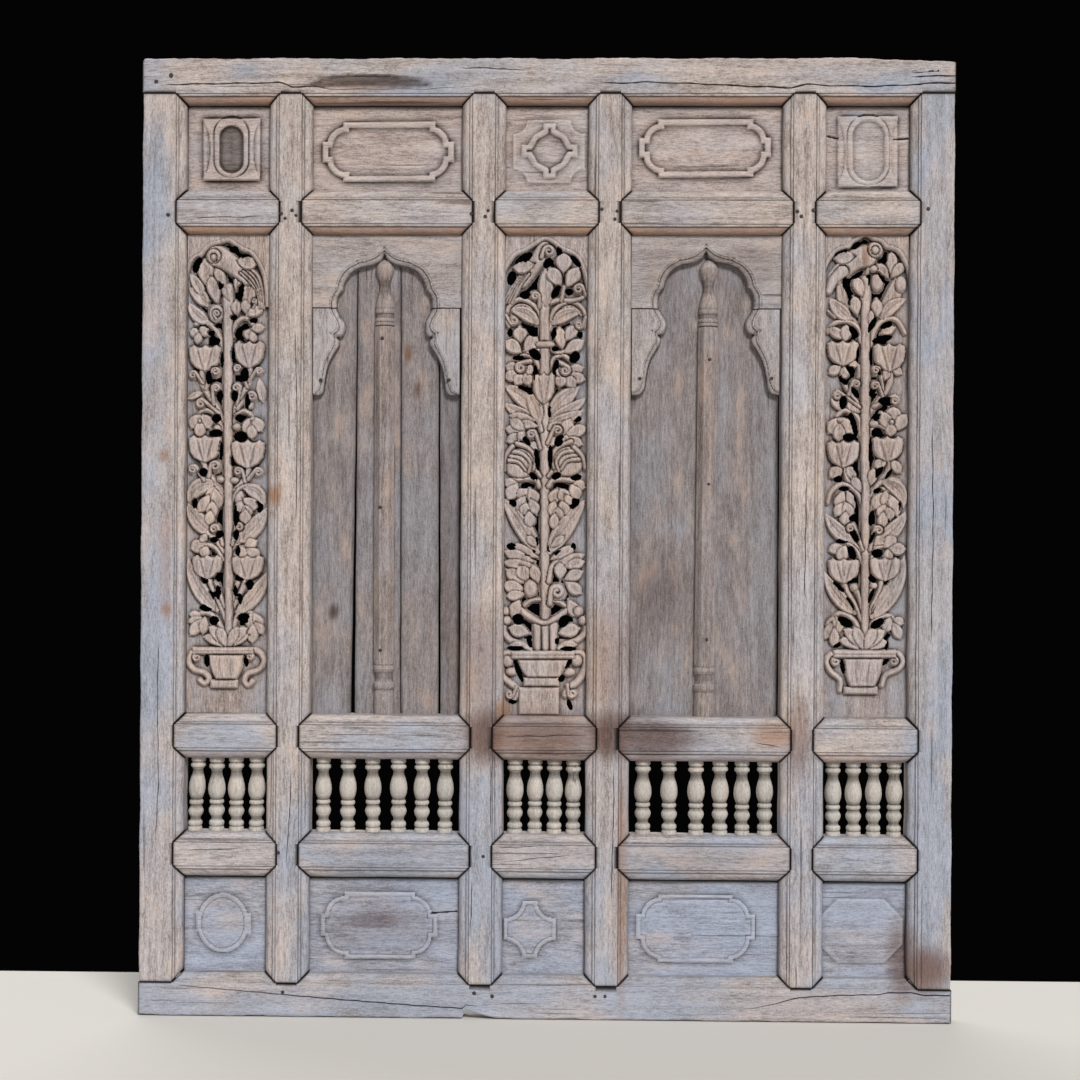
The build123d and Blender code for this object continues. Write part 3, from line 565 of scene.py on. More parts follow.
upright_rows = [(rows[0][0] + joint_gap, rows[0][1]), rows[1], rows[2], (rows[3][0], rows[3][1] - joint_gap)]
upright_ends = (upright_rows[0][0] - moulding_lines[-1], upright_rows[-1][1] + moulding_lines[-1])
for number, name in enumerate(upright_names):
    outermost = number in (0, len(upright_names) - 1)
    cracks = []
    for pixels in upright_crack_pixels[name]:
        cracks.append((crack_places(pixels, True), upright_crack_half, upright_crack_depth))
    cracks.sort(key=lambda crack: crack[0][0][1])
    post = moulded_bar(
        upright=True, ends=upright_ends, sides=upright_sides[number], openings=upright_rows,
        moulded=(number > 0, number < len(bays)), seed=200 + number,
        cracks=cracks, edge_cuts=stile_edges if outermost else None,
    )
    fitted(post, name + "_post", upright_wood, "frame_wood", name)

# Cross rails: short moulded rails between the uprights, three rows of five, with mitred ends.
# Each is stub-tenoned and nailed, and its shrunken joints show as dark lines.
rail_crack_pixels = {
    "lower_rail_3": [[(508, 862), (575, 855)], [(495, 848), (548, 846.5)]],
    "middle_rail_3": [[(508, 737), (590, 735)]], "middle_rail_4": [[(752, 741), (786, 748)]],
    "upper_rail_1": [[(190, 216), (262, 215)]], "lower_rail_1": [[(185, 852), (240, 850)]],
}
rail_crack_half, rail_crack_depth = 0.9 * mm, 5 * mm
# Strength, per row, of the browner colour and painted shade on the down-facing mouldings.
rail_shaded_browns = (0, 0.3, 0.9)
for row_number, row_name in enumerate(rail_rows):
    for bay_number, (left, right) in enumerate(bays):
        node = row_name + "_" + str(bay_number + 1)
        opening = (left + joint_gap, right - joint_gap)
        rail_cracks = []
        for pixels in rail_crack_pixels.get(node, []):
            rail_cracks.append((crack_places(pixels, False), rail_crack_half, rail_crack_depth))
        rail = moulded_bar(
            upright=False, ends=(opening[0] - moulding_lines[-1], opening[1] + moulding_lines[-1]),
            sides=rail_heights[row_number], openings=[opening], moulded=(True, True),
            seed=300 + 10 * row_number + bay_number, cracks=rail_cracks, shaded_brown_under=rail_shaded_browns[row_number],
        )
        fitted(rail, node + "_bar", across_wood, "frame_wood", node)

# Head rail: the top beam, rounded and split with age, with a hollow where rotten wood has fallen out.
# It is notched over the tops of the uprights and moulded between them.
head_crack_pixels = [
    (165, 82, 1), (200, 81.5, 1), (280, 80.5, 1), (286, 82, 1), (292, 85, 1.2), (306, 84.5, 1),
    (316, 84, 0.6), (330, 87.5, 0.3), (430, 88, 0.2), (531, 81, 0), (600, 82, 0.1), (620, 83, 1),
    (650, 82, 0.8), (700, 84, 1), (745, 86.5, 1.2), (792, 88.5, 1.4), (808, 85, 1.2), (830, 86.5, 0.7),
    (870, 87.5, 1.2), (905, 86.5, 0.8), (930, 84.5, 1.3), (965, 84, 1.4),
]
head_end_crack_pixels = [[(912, 77.5), (930, 77), (965, 76)], [(914, 73), (932, 71.5), (965, 70.5)]]
head_upper_crack_pixels = [
    (462, 66.5, 1), (473, 66.5, 1), (505, 67.5, 0.9), (520, 69, 0.7), (531, 70, 0.4),
]
head_slope_start, head_slope_fall = from_photo(868, 58)[0], 8 * mm
head_hollow_pixels = [
    (311, 82, 85), (322, 75, 87), (345, 72, 87), (385, 73, 88), (412, 75, 88), (432, 83, 88),
]
head_hollow_depth = 7 * mm
head_crack_half, head_crack_depth = 1.7 * mm, 9 * mm
end_crack_half, end_crack_depth = 2.0 * mm, 12 * mm
upper_crack_half, upper_crack_depth = 1.3 * mm, 6 * mm
end_round = 8 * mm


def head_edges(along):
    """How far the head's upper edge is worn back."""
    worn = worn_back(along, 2.2 * mm, 0.41, 1.1 * mm, 0.05, 31)
    near_end = np.clip(1 - (along - cad_low.x) / end_round, 0, 1)
    rounded = end_round * (1 - np.sqrt(1 - near_end**2))
    slope = head_slope_fall * np.clip((along - head_slope_start) / (cad_high.x - head_slope_start), 0, 1)
    return 0.6 * rounded, worn + rounded + slope


head_hollow = [
    (from_photo(across, low)[0], from_photo(across, low)[1], from_photo(across, high)[1])
    for across, high, low in head_hollow_pixels
]
head_cracks = [(crack_places(head_crack_pixels, False), head_crack_half, head_crack_depth)]
for pixels in head_end_crack_pixels:
    head_cracks.append((crack_places(pixels, False), end_crack_half, end_crack_depth))
head_cracks.append((crack_places(head_upper_crack_pixels, False), upper_crack_half, upper_crack_depth))
head = moulded_bar(
    upright=False, ends=(cad_low.x, cad_high.x), sides=(head_low, cad_high.z), openings=bays,
    moulded=(True, False), seed=400, cracks=head_cracks, hollows=[(head_hollow, head_hollow_depth)],
    edge_cuts=head_edges, pitch=7 * mm, lanes_pitch=5 * mm, shaded_brown_under=rail_shaded_browns[-1],
)
fitted(head, "head_beam", across_wood, "frame_wood", "head_rail")

# Small panels: five thin boards under the head and five over the sill, each with a low carved frame.
# They are let into grooves of the frame; the lower five are bleached and worn nearly flat.
panel_pitch = 2.4 * mm


def to_photo(x, z):
    """The pixel of the photo, across and down, of places on the screen's face."""
    right, up = x / photo_pixel_size, (z - (cad_low.z + cad_high.z) / 2) / photo_pixel_size
    return photo_middle_pixel[0] + right + photo_roll * up, photo_middle_pixel[1] - up + photo_roll * right


def blurred(field, spread):
    """A field softened over a spread of cells."""
    reach = int(3 * spread) + 1
    weights = np.exp(-0.5 * (np.arange(-reach, reach + 1) / spread) ** 2)
    weights = weights / weights.sum()
    for axis in (0, 1):
        padding = [(reach, reach) if axis == k else (0, 0) for k in (0, 1)]
        wide = np.pad(field, padding, mode="edge")
        cells = np.arange(field.shape[axis])
        field = sum(weight * np.take(wide, cells + k, axis) for k, weight in enumerate(weights))
    return field


class Carving:
    """A board's face drawn in pixels of the photo: heights in millimetres over its ground."""

    def __init__(self, span_x, span_z, pitch):
        columns = round((span_x[1] - span_x[0]) / pitch) + 1
        lines = round((span_z[1] - span_z[0]) / pitch) + 1
        self.x, self.z = np.meshgrid(np.linspace(*span_x, columns), np.linspace(*span_z, lines))
        self.across, self.down = to_photo(self.x, self.z)
        self.height = np.zeros(self.x.shape)
        self.cover = np.full(self.x.shape, -99.0)
        self.open = np.full(self.x.shape, -99.0)
        self.grime = np.zeros(self.x.shape)
        self.bleach = 0.0

    def box(self, left, right, top, bottom, corner=0.0):
        """Depth inside a box with round corners."""
        half_wide, half_high = (right - left) / 2 - corner, (bottom - top) / 2 - corner
        side = np.abs(self.across - (left + right) / 2) - half_wide
        end = np.abs(self.down - (top + bottom) / 2) - half_high
        outside = np.hypot(np.maximum(side, 0), np.maximum(end, 0))
        return corner - outside - np.minimum(np.maximum(side, end), 0)

    def oval(self, across, down, half_wide, half_high):
        """Depth inside an ellipse, near enough."""
        far = np.hypot((self.across - across) / half_wide, (self.down - down) / half_high)
        return (1 - far) * min(half_wide, half_high)

    def raise_by(self, inside, profile):
        """Adds a moulding given as depths inside an outline and the heights there."""
        depths, heights = zip(*profile)
        self.height = self.height + np.interp(inside, depths, heights)

    def line(self, inside, half_width, fall):
        """Cuts a V line where the depth inside an outline is nought."""
        self.height = self.height - fall * np.clip(1 - np.abs(inside) / half_width, 0, 1)

    def board(self, face, back_place, seed, smooth_angle=50, shade_spread=3.0, shade_reach=1.6):
        """Makes the carved board, with shade painted into its hollows, highlight painted onto its crests, and
        the given soiling and shade.
        """
        # Painted shade where the carving lies below its softened surroundings, painted highlight where it
        # stands above them.
        falls = blurred(self.height, shade_spread) - self.height
        cavity = np.clip(falls / shade_reach, -0.5, 1) + self.grime
        waver = 0.35 * dapple(self.x, self.z, seed, 0.3, 0.06)
        waver = waver + 0.15 * dapple(self.x, self.z, seed + 1, 0.05, 0.02)
        depth = face - (self.height - 0.5 - waver) * mm
        piece = shaped_grid(self.x, depth, self.z, cavity, seed, self.bleach)
        open_sides = (self.open[:, :-1] > 0) & (self.open[:, 1:] > 0)
        outside = open_sides[:-1] & open_sides[1:]
        if outside.any():
            drop_faces(piece, outside)
            bpy.ops.object.mode_set(mode="EDIT")
            bpy.ops.mesh.select_mode(type="VERT")
            bpy.ops.mesh.select_all(action="DESELECT")
            bpy.ops.mesh.select_non_manifold(
                extend=False, use_wire=False, use_boundary=True, use_multi_face=False
            )
            bpy.ops.mesh.vertices_smooth(factor=0.5, repeat=2, yaxis=False)
            bpy.ops.object.mode_set(mode="OBJECT")
        close_back(piece, back_place, smooth_angle, outside.any())
        return piece


def scrolled_frame(carving, bar, body, body_corner, tabs, profile):
    """A long frame of a straight bar over a rounded body with a tab at each end."""
    inside = np.maximum(carving.box(*bar), np.maximum(carving.box(*body, body_corner), carving.box(*tabs)))
    carving.raise_by(inside, profile)


def framed_oval(carving, block, ring, inner, side_half):
    """A raised block with a grooved oval ring round a sunk field and a sunk bow at each side."""
    left, right, top, bottom = block
    carving.raise_by(carving.box(*block), [(-0.5, 0), (0.5, 4.5)])
    half_ring, half_inner = (ring[1] - ring[0]) / 2, (inner[1] - inner[0]) / 2
    carving.line(carving.box(*ring, half_ring - 0.1), 1.3, 2.4)
    field = carving.box(*inner, half_inner - 0.1)
    carving.raise_by(field, [(-1.0, 0), (0.0, -2.4), (0.6, -2.6), (half_inner, -3.6)])
    for edge in (left, right):
        bow = carving.oval(edge, (top + bottom) / 2, side_half, (bottom - top) * 0.42)
        bow = np.minimum(bow, carving.box(*block))
        carving.raise_by(bow, [(-0.4, 0), (0.5, -2.4), (1.2, -1.9), (side_half, -2.2)])


def ogee_star(carving, across, down, half_wide, half_high, swell, tab):
    """Depth inside a four-pointed frame with bowed sides and flat tabs at the points."""
    from_axis, from_centre = np.abs(carving.across - across), np.abs(carving.down - down)
    right, up = from_axis / half_wide, from_centre / half_high
    reach = right + up
    turn = up / np.maximum(reach, 1e-6)
    slope = math.hypot(1 / half_wide, 1 / half_high)
    inside = (1 - reach) / slope + swell * (1 - 2 * np.abs(np.cos(math.pi * turn)))
    tab_share = 0.96
    flat = np.minimum(half_high * tab_share - from_centre, tab - from_axis)
    upright = np.minimum(half_wide * tab_share - from_axis, tab - from_centre)
    return np.maximum(inside, np.maximum(flat, upright))


frame_profile = [
    (-0.3, 0), (0.5, 3.6), (1.6, 4.4), (2.8, 4.2), (3.3, 3.4), (3.8, 3.9), (5.0, 3.7), (5.9, 0.7),
    (7.5, 0.5),
]
worn_profile = [
    (-0.8, 0), (-0.3, -0.6), (0.3, 1.9), (1.4, 2.4), (3.4, 2.0), (4.2, 0.2), (5.0, 1.4), (9, 1.2),
]
top_wood = weathered_wood(
    "panel_wood_across", False, pale=card(204, 190, 182), body=card(176, 160, 154),
    dark=card(128, 110, 102), silver=card(172, 168, 172), silver_share=0.5, relief=0.6,
)
bottom_wood = weathered_wood(
    "panel_wood_bleached", False, pale=card(184, 182, 188), body=card(152, 148, 152),
    dark=card(112, 105, 106), silver=card(154, 160, 176), silver_share=0.5, relief=0.6,
)
panel_faces = -6 * mm
panel_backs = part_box("top_panel_1")[1].y
top_row, bottom_row = rows[3], rows[0]
carvings = {}
for number, (left, right) in enumerate(bays, start=1):
    carvings["top_panel_" + str(number)] = Carving((left, right), top_row, panel_pitch)
    carvings["bottom_panel_" + str(number)] = Carving((left, right), bottom_row, panel_pitch)
framed_oval(
    carvings["top_panel_1"], block=(202, 259, 115, 177), ring=(212.5, 248, 112.5, 174.5),
    inner=(218, 242.5, 122, 170), side_half=7,
)
framed_oval(
    carvings["top_panel_5"], block=(840.5, 899.5, 116, 186.5), ring=(849.5, 891.5, 114, 185),
    inner=(855, 887, 120, 180.5), side_half=7,
)
smoked = carvings["top_panel_1"]
smoked_far = np.hypot((smoked.across - 231) / 36, (smoked.down - 148) / 42)
smoked.grime = 0.3 * np.exp(-(smoked_far**4)) + 0.25 * np.clip(smoked.box(218, 242.5, 122, 170, 12) / 2, 0, 1)
scrolled_frame(
    carvings["top_panel_2"], bar=(343.5, 436, 119, 179), body=(327, 450, 123.5, 175), body_corner=19,
    tabs=(322.5, 455, 139, 159.5), profile=frame_profile,
)
scrolled_frame(
    carvings["top_panel_4"], bar=(660.5, 755.5, 118, 176), body=(646, 769, 122, 172), body_corner=18,
    tabs=(641, 773, 136.5, 156), profile=frame_profile,
)
plate = carvings["top_panel_3"]
plate_inside = plate.box(515, 586, 118, 181.5)
for corner_across in (515, 586):
    for corner_down in (118, 181.5):
        nook = np.hypot(plate.across - corner_across, plate.down - corner_down) - 14
        plate_inside = np.minimum(plate_inside, nook)
plate.raise_by(plate_inside, [(-0.5, 0), (0.4, 2.2), (1.2, 2.4), (2, 1.4), (3, 1.2), (30, 1.2)])
star = ogee_star(plate, 551.3, 148.8, 29, 28.5, 1.6, 6)
plate.raise_by(star, [(-0.5, 0), (0.5, 2.4), (2.2, 2.9), (4.4, 2.6), (5.2, -0.6), (6.2, -0.8), (20, -0.6)])
disc = carvings["bottom_panel_1"]
disc.raise_by(disc.oval(221.4, 926.5, 26, 30), worn_profile)
for tab in ((194.5, 201, 915, 935), (243, 249.5, 917, 938)):
    disc.raise_by(np.minimum(disc.box(*tab), 0.6 - disc.oval(221.4, 926.5, 26, 30)), [(-0.5, 0), (0.5, 1.5)])
scrolled_frame(
    carvings["bottom_panel_2"], bar=(345, 416, 895, 962), body=(325, 432.5, 899, 958), body_corner=20,
    tabs=(321, 438, 917, 939.5), profile=worn_profile,
)
scrolled_frame(
    carvings["bottom_panel_4"], bar=(660, 735, 896.5, 964), body=(643, 752, 899, 961), body_corner=21,
    tabs=(638.5, 757.5, 916, 941), profile=worn_profile,
)
shield = carvings["bottom_panel_3"]
shield_inside = shield.box(505, 557.5, 903, 960.5)
for corner_across, corner_down in ((505, 903), (557.5, 903), (505, 960.5), (557.5, 960.5)):
    nook = np.hypot((shield.across - corner_across) / 1.05, shield.down - corner_down) - 18
    shield_inside = np.minimum(shield_inside, nook)
shield.raise_by(shield_inside, worn_profile)
worn = carvings["bottom_panel_5"]
worn_corners = (np.abs(worn.across - 863) + np.abs(worn.down - 932) - 55) * -0.7
worn_inside = np.minimum(worn.box(821, 905, 900, 964), worn_corners)
worn_fade = (905 - worn.across) * 0.05 + 3
worn.raise_by(np.minimum(worn_inside, worn_fade), [(-0.4, 0), (0.4, 1.6), (2, 1.8), (5, 1.4)])
panel_crack_pixels = {
    "top_panel_5": [(828, 135, 841, 138), (896, 139, 913, 138)], "bottom_panel_2": [(432, 916, 458, 914)],
}
for number, (node, carving) in enumerate(carvings.items()):
    for start_across, start_down, stop_across, stop_down in panel_crack_pixels.get(node, []):
        share = np.clip((carving.across - start_across) / (stop_across - start_across), 0, 1)
        far = np.hypot(
            carving.across - start_across - share * (stop_across - start_across),
            carving.down - start_down - share * (stop_down - start_down),
        )
        carving.line(far, 1.0, 6)
    from_top = (carving.z.max() - carving.z) / photo_pixel_size
    from_side = np.minimum(carving.x - carving.x.min(), carving.x.max() - carving.x) / photo_pixel_size
    # Painted shadow: a dark line along each panel's top under the rail above and a soft shade below it, and
    # painted shade down both sides beside the uprights.
    gap_shadow = 1.0 if node.startswith("top") else 1.5
    shadow_under_rail = gap_shadow * np.exp(-((from_top / 2.2) ** 2)) + 0.12 * np.exp(-from_top / 9)
    carving.grime = carving.grime + shadow_under_rail + 0.4 * np.exp(-from_side / 2)
    piece = carving.board(panel_faces, panel_backs, 500 + number)
    fitted(piece, node + "_carving", top_wood if node.startswith("top") else bottom_wood, "panel_wood", node)

# Tree panels: three tall boards carved and pierced with a flowering tree in a vase, a parrot at its top.
# Each is one plank of teak, cut right through between the leaves and let into grooves of the frame.
tree_pitch = 1.8 * mm


def smooth_curve(points, steps=6):
    """Points along a smooth curve through the given ones."""
    known = np.array([points[0]] + list(points) + [points[-1]], float)
    shares = np.arange(steps)[:, None] / steps
    curve = []
    for before, first, second, after in zip(known, known[1:], known[2:], known[3:]):
        bend = 2 * before - 5 * first + 4 * second - after
        twist = 3 * first - before - 3 * second + after
        curve.append(first + 0.5 * shares * ((second - before) + shares * (bend + shares * twist)))
    return np.concatenate(curve + [known[-1:]])


def distance_to(across, down, curve):
    """The distance from places to a line of points, and the share of the line's length there."""
    best = np.full(across.shape, 1e9)
    where = np.zeros(across.shape)
    lengths = np.concatenate(([0], np.cumsum(np.hypot(*np.diff(curve, axis=0).T))))
    for number, ((x0, y0), (x1, y1)) in enumerate(zip(curve, curve[1:])):
        span = max((x1 - x0) ** 2 + (y1 - y0) ** 2, 1e-9)
        share = np.clip(((across - x0) * (x1 - x0) + (down - y0) * (y1 - y0)) / span, 0, 1)
        far = np.hypot(across - x0 - share * (x1 - x0), down - y0 - share * (y1 - y0))
        nearer = far < best
        best = np.where(nearer, far, best)
        where = np.where(nearer, (lengths[number] + share * math.sqrt(span)) / lengths[-1], where)
    return best, where


def inside_shape(across, down, outline):
    """Which places lie inside a closed outline."""
    inside = np.zeros(across.shape, bool)
    for (x0, y0), (x1, y1) in zip(outline, np.roll(outline, -1, axis=0)):
        if y0 != y1:
            crosses = (y0 > down) != (y1 > down)
            inside ^= crosses & (across < x0 + (down - y0) * (x1 - x0) / (y1 - y0))
    return inside


class TreeCarving(Carving):
    """A tree panel's face, with the carver's motifs laid over one another."""

    pocket_half, pocket_foot = 24, 640

    def near(self, points, margin):
        """The part of the panel round some points."""
        places = np.array(points, float)
        right, down = self.across[0], self.down[:, 0]
        columns = np.flatnonzero(np.abs(right - places[:, 0].mean()) < np.ptp(places[:, 0]) / 2 + margin)
        lines = np.flatnonzero(np.abs(down - places[:, 1].mean()) < np.ptp(places[:, 1]) / 2 + margin)
        return slice(lines.min(), lines.max() + 1), slice(columns.min(), columns.max() + 1)

    def lay(self, view, inside, height, cut=2.6):
        """Lays a motif over what is there, with a cut round it so that its edge stands clear."""
        there = self.height[view]
        rim = np.clip(1 + inside / 1.2, 0, 1) * (inside < 0)
        there = there - np.minimum(there * 0.8, cut) * rim
        lift = 1.25 * height * np.clip(inside / 2.6 + 0.12, 0, 1) ** 0.5
        self.height[view] = np.where(inside > 0, lift, there)
        self.cover[view] = np.maximum(self.cover[view], inside)

    def stem(self, points, half, top=7.5, end_half=None):
        """A rounded branch along a smooth curve, tapering to its end."""
        view = self.near(points, half + 9)
        far, where = distance_to(self.across[view], self.down[view], smooth_curve(points, 4))
        width = half + ((half if end_half is None else end_half) - half) * where
        share = np.clip(far / width, 0, 1)
        self.lay(view, width - far, top * (0.45 + 0.55 * np.sqrt(1 - share**2)))

    def leaf(self, root, tip, half, bow=0.0, top=8.5, fullness=0.8, dish=0.4, rib=1.5):
        """A dished leaf with a raised rim and a midrib, bowed to one side."""
        root, tip = np.array(root, float), np.array(tip, float)
        run = tip - root
        middle = (root + tip) / 2 + bow * np.array([-run[1], run[0]])
        shares = np.linspace(0, 1, 9)[:, None]
        axis = root * (1 - shares) ** 2 + middle * 2 * shares * (1 - shares) + tip * shares**2
        view = self.near(axis, half + 9)
        far, where = distance_to(self.across[view], self.down[view], axis)
        width = half * np.sin(math.pi * np.clip(where, 0.02, 0.985) ** fullness) ** 0.6
        share = np.clip(far / np.maximum(width, 0.2), 0, 1)
        rim = np.clip((share - 0.45) / 0.3, 0, 1)
        height = top * (1 - dish + dish * rim) * (0.76 + 0.24 * np.sin(math.pi * where**0.8))
        vein = np.clip(where * 5, 0, 1) * np.clip((1 - where) * 4, 0, 1)
        height = height - rib * np.exp(-((far / 0.8) ** 2)) * vein
        self.lay(view, width - far, height)

    def petal(self, root, tip, half, bow=0.0, top=9.0):
        """A plump rounded petal with a soft rim."""
        self.leaf(root, tip, half, bow, top, fullness=1.35, dish=0.2, rib=0.6)

    def volute(self, start, middle, radius, hand, top=9.0):
        """A tendril that runs up to a knob and rolls in on itself."""
        half = radius * 0.34
        run = np.array(start, float) - middle
        far = max(math.hypot(*run), radius)
        first = math.atan2(run[1], run[0]) + hand * math.acos((radius - half) / far)
        turns = first + hand * np.linspace(0, 2.5 * math.pi, 12)
        reaches = np.linspace(radius - half, radius * 0.2, 12)
        coil = [(middle[0] + r * math.cos(a), middle[1] + r * math.sin(a)) for r, a in zip(reaches, turns)]
        self.bead(middle[0], middle[1], radius * 0.95, radius * 0.95, top * 0.6)
        self.stem([tuple(start)] + coil, half + 0.3, top, half * 0.8)

    def bead(self, across, down, half_wide, half_high, top=8.5):
        """A round bud."""
        view = self.near([(across, down)], max(half_wide, half_high) + 9)
        far = np.hypot((self.across[view] - across) / half_wide, (self.down[view] - down) / half_high)
        small = min(half_wide, half_high)
        self.lay(view, (1 - far) * small, top * (0.6 + 0.4 * np.sqrt(np.clip(1 - far**2, 0, 1))))

    def cup(self, left, right, top_pixel, foot_pixel):
        """A tulip from the side: a round cup with three points, folded side petals and a wedge between."""
        middle, half, high = (left + right) / 2, (right - left) / 2, foot_pixel - top_pixel
        view = self.near([(left, top_pixel), (right, foot_pixel)], 9)
        side = (self.across[view] - middle) / half
        drop = (self.down[view] - top_pixel) / high
        width = np.interp(drop, [-0.1, 0, 0.3, 0.65, 0.85, 0.97, 1.05], [0.92, 0.95, 1, 0.9, 0.66, 0.3, 0])
        crest = 0.1 * np.abs(np.sin(1.5 * math.pi * side))
        inside = np.minimum((width - np.abs(side)) * half, (drop - crest) * high)
        height = 7.5 + 2.5 * np.sqrt(np.clip(1 - side**2, 0, 1))
        fold = 0.1 + 0.42 * np.clip(1 - drop, 0, 1)
        height = height - 2.4 * np.exp(-(((np.abs(side) - fold) * half / 1.0) ** 2))
        wedge = 0.3 * np.clip(0.72 - drop, 0, 1)
        height = height - 1.5 * np.exp(-(((np.abs(side) - wedge) * half / 0.8) ** 2)) * (drop < 0.72)
        height = height + 0.9 * np.clip((np.abs(side) - fold) / 0.2, 0, 1)
        self.lay(view, inside, height)

    def vase(self, rim, body, foot_box):
        """A footed vase with a moulded rim and a petalled body."""
        left, right, top_pixel, rim_foot = rim
        body_left, body_right, low_left, low_right, body_foot = body
        view = self.near([(left, top_pixel), (right, body_foot)], 9)
        across, down = self.across[view], self.down[view]
        share = np.clip((down - rim_foot) / (body_foot - rim_foot), 0, 1)
        swell = 2.0 * np.sin(math.pi * share)
        edge_left = body_left + (low_left - body_left) * share - swell
        edge_right = body_right + (low_right - body_right) * share + swell
        beside = np.minimum(across - edge_left, edge_right - across)
        inside = np.minimum(beside, np.minimum(down - rim_foot, body_foot - down))
        place = np.clip((across - edge_left) / np.maximum(edge_right - edge_left, 1), 0, 1)
        petals = np.abs(np.sin(math.pi * (place * 3 + 0.12 * np.sin(math.pi * share))))
        self.lay(view, inside, 7.5 + 2.5 * np.sqrt(4 * place * (1 - place)) - 2.2 * (1 - petals) ** 2)
        whole = (slice(None), slice(None))
        self.lay(whole, self.box(*foot_box, 1), 8.0 + 0 * self.across)
        rim_share = (self.down - top_pixel) / (rim_foot - top_pixel)
        self.lay(whole, self.box(*rim, 1.5), 10 - 2 * np.exp(-(((rim_share - 0.6) / 0.13) ** 2)))

    def arched_top(self, curve):
        """The plain board outside a lobed arch, with a scored band along the curve."""
        line = smooth_curve(curve)
        far = distance_to(self.across, self.down, line)[0]
        first, last = line[0], line[-1]
        around = [(last[0] + 9, last[1]), (last[0] + 9, 760), (first[0] - 9, 760), (first[0] - 9, first[1])]
        outside = ~inside_shape(self.across, self.down, np.concatenate((line, around)))
        height = np.interp(far, [0, 0.8, 1.8, 2.4, 3, 4.2, 4.9, 5.6], [7, 8.6, 9, 7.8, 8.8, 8.8, 6.4, 8.2])
        self.lay((slice(None), slice(None)), np.where(outside, far, -far), height)

    def draw(self, branches=(), leaves=(), petals=(), cups=(), beads=(), volutes=()):
        """Lays the motifs of a tree, from the branches up to the tendrils."""
        for points, half in branches:
            self.stem(points, half, 7.5, half * 0.8)
        for leaf in leaves:
            self.leaf(*leaf)
        for petal in petals:
            self.petal(*petal)
        for cup in cups:
            self.cup(*cup)
        for bead in beads:
            self.bead(*bead)
        for volute in volutes:
            self.volute(*volute)

    def pierce(self, holes):
        """Cuts through the pockets between the motifs, and where the light shows in the photo.

        A hole is its middle, across and down, its half length, its half width and its slant.
        """
        trunk = (self.across.min() + self.across.max()) / 2
        reach = self.pocket_half + 4 * np.sin(self.down / 5) * np.sin(self.down / 13 + trunk)
        pocket = np.minimum(-self.cover - 1.0, (reach - np.abs(self.across - trunk)) / 3)
        self.open = np.minimum(pocket, (self.pocket_foot - self.down) / 3)
        for across, down, half_long, half_wide, slant in holes:
            angle = math.radians(slant)
            view = self.near([(across, down)], half_long + 6)
            right, up = self.across[view] - across, down - self.down[view]
            along = right * math.cos(angle) + up * math.sin(angle)
            off = up * math.cos(angle) - right * math.sin(angle)
            far = np.hypot(along / (half_long + 1.0), off / (half_wide + 1.0))
            depth = np.minimum((1 - far) * (half_wide + 1.0), 3.0 - self.cover[view])
            self.open[view] = np.maximum(self.open[view], depth)


carved_wood = weathered_wood(
    "carved_wood_upright", True, pale=card(202, 186, 178), body=card(168, 151, 143),
    dark=card(120, 103, 95), silver=card(160, 158, 164), silver_share=0.35, relief=0.6,
)
tree_board_face, tree_board_back = -2 * mm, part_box("tree_panel_1")[1].y
trees = {number: TreeCarving(bays[number - 1], rows[2], tree_pitch) for number in (1, 3, 5)}

